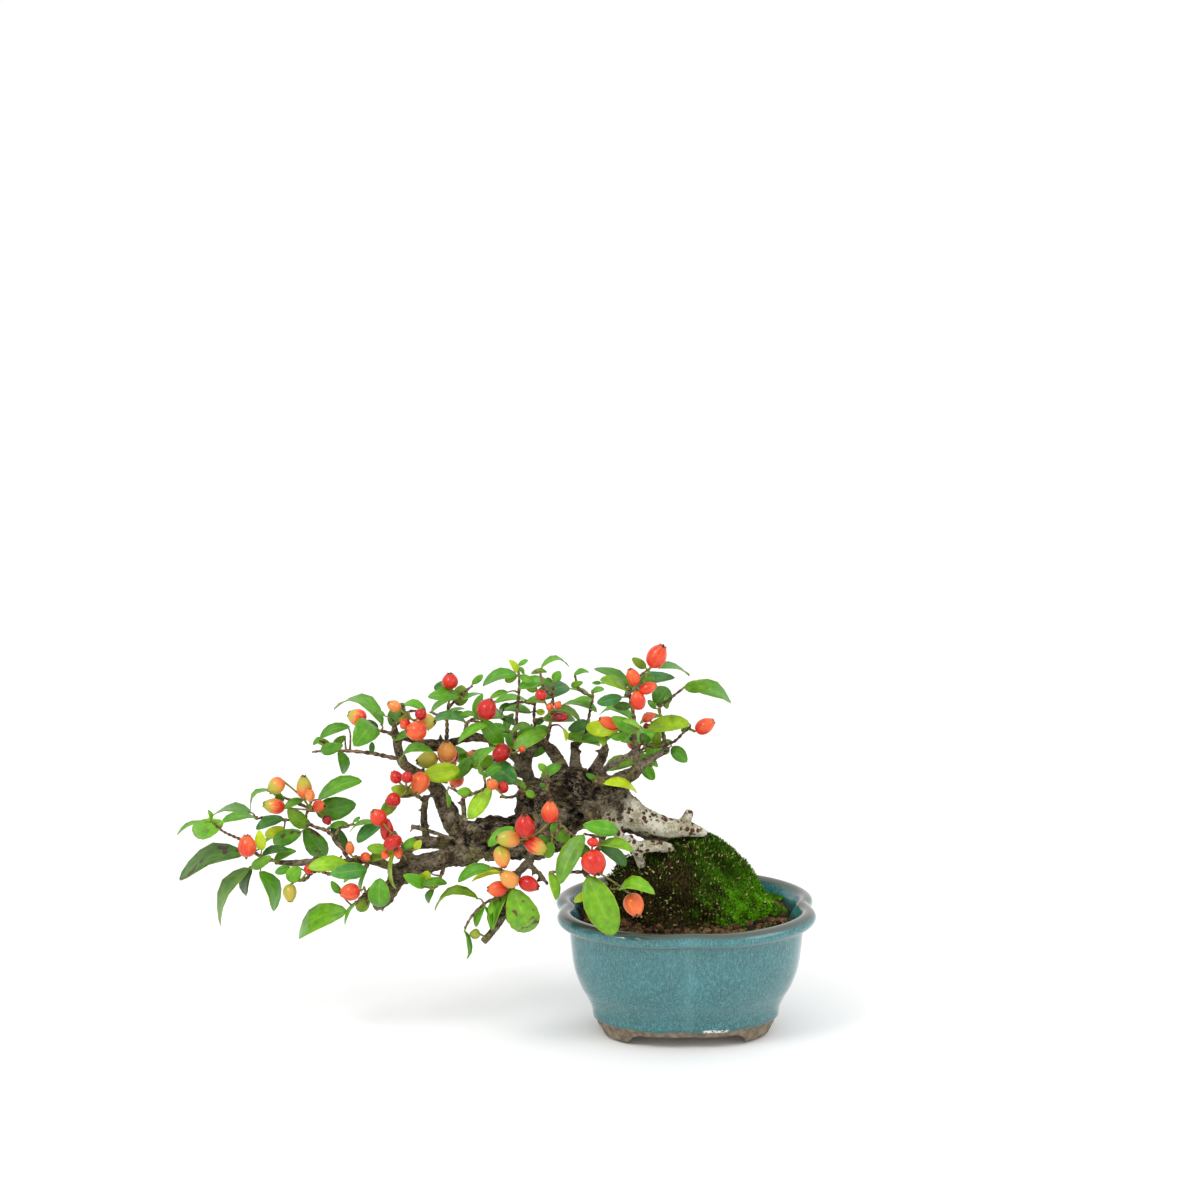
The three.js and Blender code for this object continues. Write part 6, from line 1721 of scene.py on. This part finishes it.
@dataclass
class Wood:
    """Trunk, limbs and bared roots, merged into one knobbly piece of wood."""

    voxel: float = 0.5
    spurs: int = 110
    bark: tuple = ((5.0, 3.4), (2.0, 2.2))

    def build(self) -> None:
        """Models and dresses the wood."""
        eased = {name: Run.of_limb(limb).eased(7) for name, limb in LIMBS.items()}
        wood = stems("tree_bark", [*eased.values(), *self.spur_runs(eased)], 3)
        apply_modifier(wood, "REMESH", mode="VOXEL", voxel_size=self.voxel * MM)
        apply_modifier(wood, "SMOOTH", factor=0.6, iterations=4)
        pale, thick, burl = self.nearness(wood, eased)
        group = wood.vertex_groups.new(name="thick")
        for step in range(1, 11):
            members = np.nonzero(np.round(thick * 10).astype(int) == step)[0]
            group.add(members.tolist(), step / 10, "REPLACE")
        before = corners_of(wood.data)
        roughen(wood, self.bark, 0.55, vertex_group="thick")
        mark(wood.data, "pale", pale)
        mark(wood.data, "burl", burl)
        # Painted shade in the hollows of the bark's relief.
        mark(wood.data, "hollow_shade", self.hollows(wood, before))
        wood.vertex_groups.clear()
        face_outwards(wood)
        smooth(wood)
        finish_piece(wood, BarkFinish().material(), "bark", "tree_wood")

    @staticmethod
    def hollows(wood: Object, before: np.ndarray) -> np.ndarray:
        """How far each vertex was pushed in by the bark's relief, from 0 to 1: how much painted shade
        darkens it.
        """
        pushed = ((corners_of(wood.data) - before) * corners_of(wood.data, "normal")).sum(axis=1) / MM
        return np.clip(-pushed - 0.2, 0, 1)

    def spur_runs(self, limbs: dict[str, Run]) -> list[Run]:
        """Short stubs of old shoots along the limbs."""
        chance = np.random.default_rng(SEED + 3)
        names = [name for name in limbs if name not in PALE_ROOTS and not name.endswith("Root")]
        runs = []
        for unused in range(self.spurs):
            limb = limbs[names[chance.integers(len(names))]]
            index = chance.integers(1, len(limb.points))
            along = unit(limb.points[index] - limb.points[index - 1])
            out = chance.normal(0, 1, 3)
            out = unit(out - along * np.dot(out, along))
            radius = limb.radii[index]
            if radius > 7:
                continue
            start = limb.points[index] + out * radius * 0.5
            end = limb.points[index] + out * (radius + chance.uniform(0.7, 2.0))
            end = end + along * chance.uniform(-0.8, 0.8)
            width = chance.uniform(0.5, 0.85)
            runs.append(Run.through((start, width), ((start + end) / 2, width), (end, width * 0.6)))
        return runs

    @staticmethod
    def nearness(wood: Object, limbs: dict[str, Run]) -> tuple[np.ndarray, ...]:
        """How much each vertex belongs to the pale roots, the thick wood and the trunk's burl."""
        places = model_corners(wood)
        thick = np.zeros(len(places))
        pale_gap, other_gap = np.full((2, len(places)), math.inf)
        for name, limb in limbs.items():
            gap = pale_gap if name in PALE_ROOTS else other_gap
            for point, radius in zip(limb.points, limb.radii):
                apart = np.linalg.norm(places - point, axis=1) - radius
                thick[apart < np.minimum(pale_gap, other_gap)] = radius
                np.minimum(gap, apart, out=gap)
        pale = np.clip(0.7 + (other_gap - pale_gap) / 5, 0, 1)
        burl = np.clip((thick - 6.5) / 5, 0, 1)
        return pale, np.clip(thick / 6, 0.25, 1) * (1 - 0.6 * pale), burl


@dataclass
class DrainMesh:
    """The plastic mesh over the drain hole, whose CAD shape is kept."""

    def build(self) -> None:
        """Dresses the CAD node."""
        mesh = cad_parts["drain_mesh"]
        mesh.data.materials.clear()
        mesh.data.materials.append(PlasticFinish().material())
        log.info("drain_mesh: dressed")


@dataclass
class LeafySprays:
    """Leafy stems: glossy, folded leaves with short stalks on thin twigs."""

    growth: Growth
    across: int = 4
    along: int = 7
    thickness: float = 0.3

    def build(self) -> None:
        """Models and dresses every spray and its twigs."""
        leaf = self.leaf_master()
        leaf_material, twig_material = LeafFinish().material(), TwigFinish().material()
        chance = np.random.default_rng(SEED + 4)
        for name, poses in self.growth.leaves.items():
            sets = [self.blade(leaf.places, pose, chance) for pose in poses]
            leaves = leaf.copies(f"{name}_leaves", sets, **self.marks(leaf, poses, chance))
            finish_piece(leaves, leaf_material, "leaves", name)
            twigs = stems(f"{name}_twigs", self.twig_runs(name, poses), 1)
            mark(twigs.data, "fresh", self.freshness(twigs, poses))
            finish_piece(twigs, twig_material, "bark")

    def leaf_master(self) -> Master:
        """A flat, closed blade: X across from -1 to 1, Y from base to tip, Z half the skin's side."""
        bpy.ops.mesh.primitive_grid_add(
            x_subdivisions=self.across, y_subdivisions=self.along, size=2, location=(0, 0, 0))
        flat = named("leaf")
        apply_modifier(flat, "SOLIDIFY", thickness=1.0, offset=0.0, use_even_offset=False)
        face_outwards(flat)
        places = corners_of(flat.data)
        places[:, 1] = (1 + np.sin(math.pi / 2 * places[:, 1])) / 2
        place_corners(flat.data, places)
        return Master.taken_from(flat)

    @staticmethod
    def outline(along: np.ndarray) -> np.ndarray:
        """Half the blade's width at a share of its length, widest past the middle."""
        body = np.sin(math.pi * np.clip(along, 0, 1) ** 0.94) ** 0.58
        return 0.035 + 0.965 * body

    def blade(self, flat: np.ndarray, pose: LeafPose, chance: np.random.Generator) -> np.ndarray:
        """A leaf's corners in its pose: folded along the midrib, arched and gently waved.

        Args:
            flat: The master's corners.
            pose: How the leaf lies.
            chance: The draw for its small differences.

        Returns:
            The corners in mm.
        """
        across, along, skin = flat.T
        half = pose.width / 2 * self.outline(along)
        fold = chance.uniform(0.1, 0.3)
        wave = chance.uniform(0.0, 0.05) * pose.width
        droop = chance.uniform(0.0, 0.07) + (0.16 if pose.key in ARCHED_LEAVES else 0.0)
        twist = chance.uniform(-0.22, 0.22)
        rise = (LEAF_ARCH + droop) * pose.length * 4 * along * (1 - along)
        rise = rise + fold * np.abs(across) ** 1.6 * half
        rise = rise + wave * np.sin(along * 9 + chance.uniform(0, 6)) * np.abs(across)
        rise = rise + twist * across * half * (along - 0.3)
        rise = rise + skin * self.thickness * (1 - 0.45 * across**2)
        return (pose.base + np.outer(along * pose.length, pose.along) + np.outer(across * half, pose.side)
                + np.outer(rise, pose.normal))

    @staticmethod
    def tone_of(pose: LeafPose) -> Tone:
        """The tone noted for a leaf, or fresh green."""
        for tone, keys in TONED_LEAVES.items():
            if pose.key in keys:
                return tone
        return Tone.FRESH

    def marks(self, leaf: Master, poses: list[LeafPose],
              chance: np.random.Generator) -> dict[str, np.ndarray]:
        """Each leaf's colour marks, and which of its corners are on the underside."""
        tones = np.array([self.tone_of(pose).value for pose in poses])
        spread = chance.normal(0, 1, (len(poses), 3)) * (0.12, 0.16, 0.14)
        yellow, blue, light = (tones + spread).T
        spotted = [1.0 if pose.key in SPOTTED_LEAVES else chance.uniform(0, 0.25) for pose in poses]
        return {
            "yellow": np.clip(yellow, 0, 1), "blue": np.clip(blue, 0, 1), "light": np.clip(light, 0.4, 1.7),
            "spot": np.array(spotted),
            "under": np.tile((leaf.places[:, 2] < 0).astype(float), len(poses)),
        }

    @staticmethod
    def twig_runs(name: str, poses: list[LeafPose]) -> list[Run]:
        """The spray's twigs and the leaves' stalks."""
        runs = []
        for index, twig in enumerate(SPRAYS[name].twigs):
            points = route(twig)
            start = 0.8 if index == 0 else 0.62
            twig_run = Run(points, np.linspace(start, 0.42, len(points))).eased(6)
            knobs = 1 + 0.34 * np.sin(np.arange(len(twig_run.radii)) * 2.1 + index) ** 3
            runs.append(Run(twig_run.points, twig_run.radii * knobs))
        for pose in poses:
            reach = pose.base - pose.root
            bend = pose.root + 0.5 * reach + 0.2 * np.linalg.norm(reach) * (pose.normal - pose.along * 0.4)
            end = pose.base + 0.05 * pose.length * pose.along
            runs.append(Run.through((pose.root, 0.42), (bend, 0.3), (end, 0.26)).eased(4))
        return runs

    @staticmethod
    def freshness(twigs: Object, poses: list[LeafPose]) -> np.ndarray:
        """How green the twigs are: more so near the leaves' bases."""
        bases = np.array([pose.base for pose in poses])
        gap = np.linalg.norm(model_corners(twigs)[:, None] - bases[None], axis=2).min(axis=1)
        return np.clip(0.9 - gap / 2.4, 0, 1)


@dataclass
class BerryBunches:
    """Bunches of oblong berries with a dark calyx star, on thin stalks."""

    growth: Growth
    segments: int = 20
    rings: int = 14

    def build(self) -> None:
        """Models and dresses every bunch and its stalks."""
        berry = self.berry_master()
        berry_material, stalk_material = BerryFinish().material(), TwigFinish().material()
        chance = np.random.default_rng(SEED + 5)
        for name, bunch in self.growth.bunches.items():
            sets = [self.placed(berry.places, one, chance) for one in bunch.berries]
            ripe = np.array([one.ripe for one in bunch.berries])
            ripe = ripe + chance.normal(0, 0.02, ripe.shape)
            fruit = berry.copies(f"{name}_fruit", sets, ripe_stalk=ripe[:, 0], ripe_calyx=ripe[:, 1])
            finish_piece(fruit, berry_material, "berries", name)
            stalks = stems(f"{name}_stalks", self.stalk_runs(bunch), 1)
            mark(stalks.data, "fresh", np.full(len(stalks.data.vertices), 0.45))
            finish_piece(stalks, stalk_material, "bark")

    def berry_master(self) -> Master:
        """A unit berry along Z, its stalk end drawn in and its calyx end sunk in five lobes."""
        bpy.ops.mesh.primitive_uv_sphere_add(segments=self.segments, ring_count=self.rings, radius=1)
        berry = named("berry")
        places = corners_of(berry.data)
        x, y, height = places.T
        radius, angle = np.hypot(x, y), np.arctan2(y, x)
        low = np.clip(-height, 0, 1)
        broad = 1 + 0.1 * low * (1 - low**6)
        tapered = 1 - 0.24 * np.clip(height, 0, 1) ** 1.4
        places[:, :2] *= (broad * tapered * 1.03)[:, None]
        lobes = 0.5 + 0.5 * np.cos(5 * angle)
        calyx = (height > 0.8) * np.clip(1 - radius / 0.5, 0, 1)
        lip = (height > 0.8) * np.exp(-((radius - 0.4) / 0.12) ** 2)
        dimple = (height < -0.85) * np.clip(1 - radius / 0.4, 0, 1)
        places[:, 2] = height - 0.3 * calyx + 0.13 * lip * (0.3 + lobes) + 0.1 * dimple
        place_corners(berry.data, places)
        return Master.taken_from(berry)

    @staticmethod
    def placed(shape: np.ndarray, berry: Berry, chance: np.random.Generator) -> np.ndarray:
        """A berry's corners in its place, a little uneven."""
        pointing = unit(berry.pointing - FORWARD * chance.uniform(0.12, 0.42))
        side = unit(np.cross(pointing, FORWARD))
        other = np.cross(pointing, side)
        spin = chance.uniform(0, math.tau)
        one = side * math.cos(spin) + other * math.sin(spin)
        two = np.cross(pointing, one)
        uneven = shape * (1 + chance.uniform(-0.03, 0.03), 1, 1)
        uneven = uneven + np.outer(0.03 * np.sin(3 * shape[:, 2] + spin), (1, 0.5, 0))
        girth, length = berry.girth / 2.14, berry.length / 1.94
        return berry.centre + uneven @ np.array([one * girth, two * girth, pointing * length])

    @staticmethod
    def stalk_runs(bunch: Bunch) -> list[Run]:
        """The stalk of each berry, and the one that carries them all."""
        runs = []
        for berry in bunch.berries:
            end = berry.centre - berry.pointing * berry.length * 0.44
            middle = (bunch.knob + end) / 2 - berry.pointing * 0.6
            runs.append(Run.through((bunch.knob, 0.42), (middle, 0.33), (end, 0.4)).eased(5))
        if np.linalg.norm(bunch.knob - bunch.foot) > 0.3:
            middle = (bunch.knob + bunch.foot) / 2
            runs.append(Run.through((bunch.foot, 0.5), (middle, 0.44), (bunch.knob, 0.5)).eased(3))
        return runs


@dataclass
class Studio:
    """The camera at the photograph's angle, a pale floor and soft light."""

    sensor: float = 36.0
    picture_width: float = 1200.0
    floor_size: float = 16.0
    floor_tones: tuple = ((0.93, 0.93, 0.93, 1), (0.95, 0.95, 0.95, 1))
    surround: float = 1.06
    aim: tuple = (0.0, 0.0, 0.06)

    def build(self) -> None:
        """Sets up the camera, the floor and the lights."""
        self.camera()
        self.floor()
        self.lights()
        bpy.context.scene.view_settings.view_transform = "Standard"

    def camera(self) -> None:
        """A long lens where the front view is seen from."""
        lens = bpy.data.cameras.new("photo")
        lens.sensor_width = self.sensor
        lens.lens = self.sensor * SIGHT.focal / self.picture_width
        lens.clip_end = 20
        camera = added("photo", lens)
        axes = Matrix((RIGHT, UP, -FORWARD)).transposed().to_4x4()
        camera.matrix_world = Matrix.Translation(Vector(to_world(EYE))) @ axes
        bpy.context.scene.camera = camera

    def floor(self) -> None:
        """A wide, pale floor under the pot."""
        bpy.ops.mesh.primitive_plane_add(size=self.floor_size, location=(0, 0, 0))
        floor = named("floor")
        paint = Paint("floor", Roughness=0.9, Specular_IOR_Level=0.1)
        paint.put(Base_Color=paint.mixed(paint.noise(300.0, 2), *self.floor_tones))
        floor.data.materials.append(paint.material)

    def lights(self) -> None:
        """A white surround, a wide key light from the upper left and a fill from the right."""
        world = bpy.data.worlds.new("surround")
        world.use_nodes = True
        surround = world.node_tree.nodes["Background"]
        surround.inputs["Color"].default_value = (1, 1, 1, 1)
        surround.inputs["Strength"].default_value = self.surround
        bpy.context.scene.world = world
        self.panel("key", (-0.5, -0.55, 0.95), 0.4, 5.0)
        self.panel("fill", (0.75, -0.35, 0.6), 0.5, 1.6)

    def panel(self, name: str, place: tuple[float, float, float], size: float, power: float) -> None:
        """A square soft light of a size in metres and a power in watts, aimed at the tree."""
        light = bpy.data.lights.new(name, "AREA")
        light.size = size
        light.energy = power
        lamp = added(name, light)
        way = Vector(self.aim) - Vector(place)
        lamp.rotation_euler = way.to_track_quat("-Z", "Y").to_euler()
        lamp.location = place


def main() -> None:
    """Builds the pot, the soil, the moss, the wood, the leaves, the berries and the studio."""
    logging.basicConfig(level=logging.INFO, format="%(message)s")
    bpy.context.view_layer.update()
    growth = Growth().settle()
    log.info("settled %d leaves", sum(len(poses) for poses in growth.leaves.values()))
    mound = MossMound()
    Pot().build()
    Soil().build(mound)
    mound.build()
    DrainMesh().build()
    Wood().build()
    LeafySprays(growth).build()
    BerryBunches(growth).build()
    Studio().build()


if __name__ == "__main__":
    main()
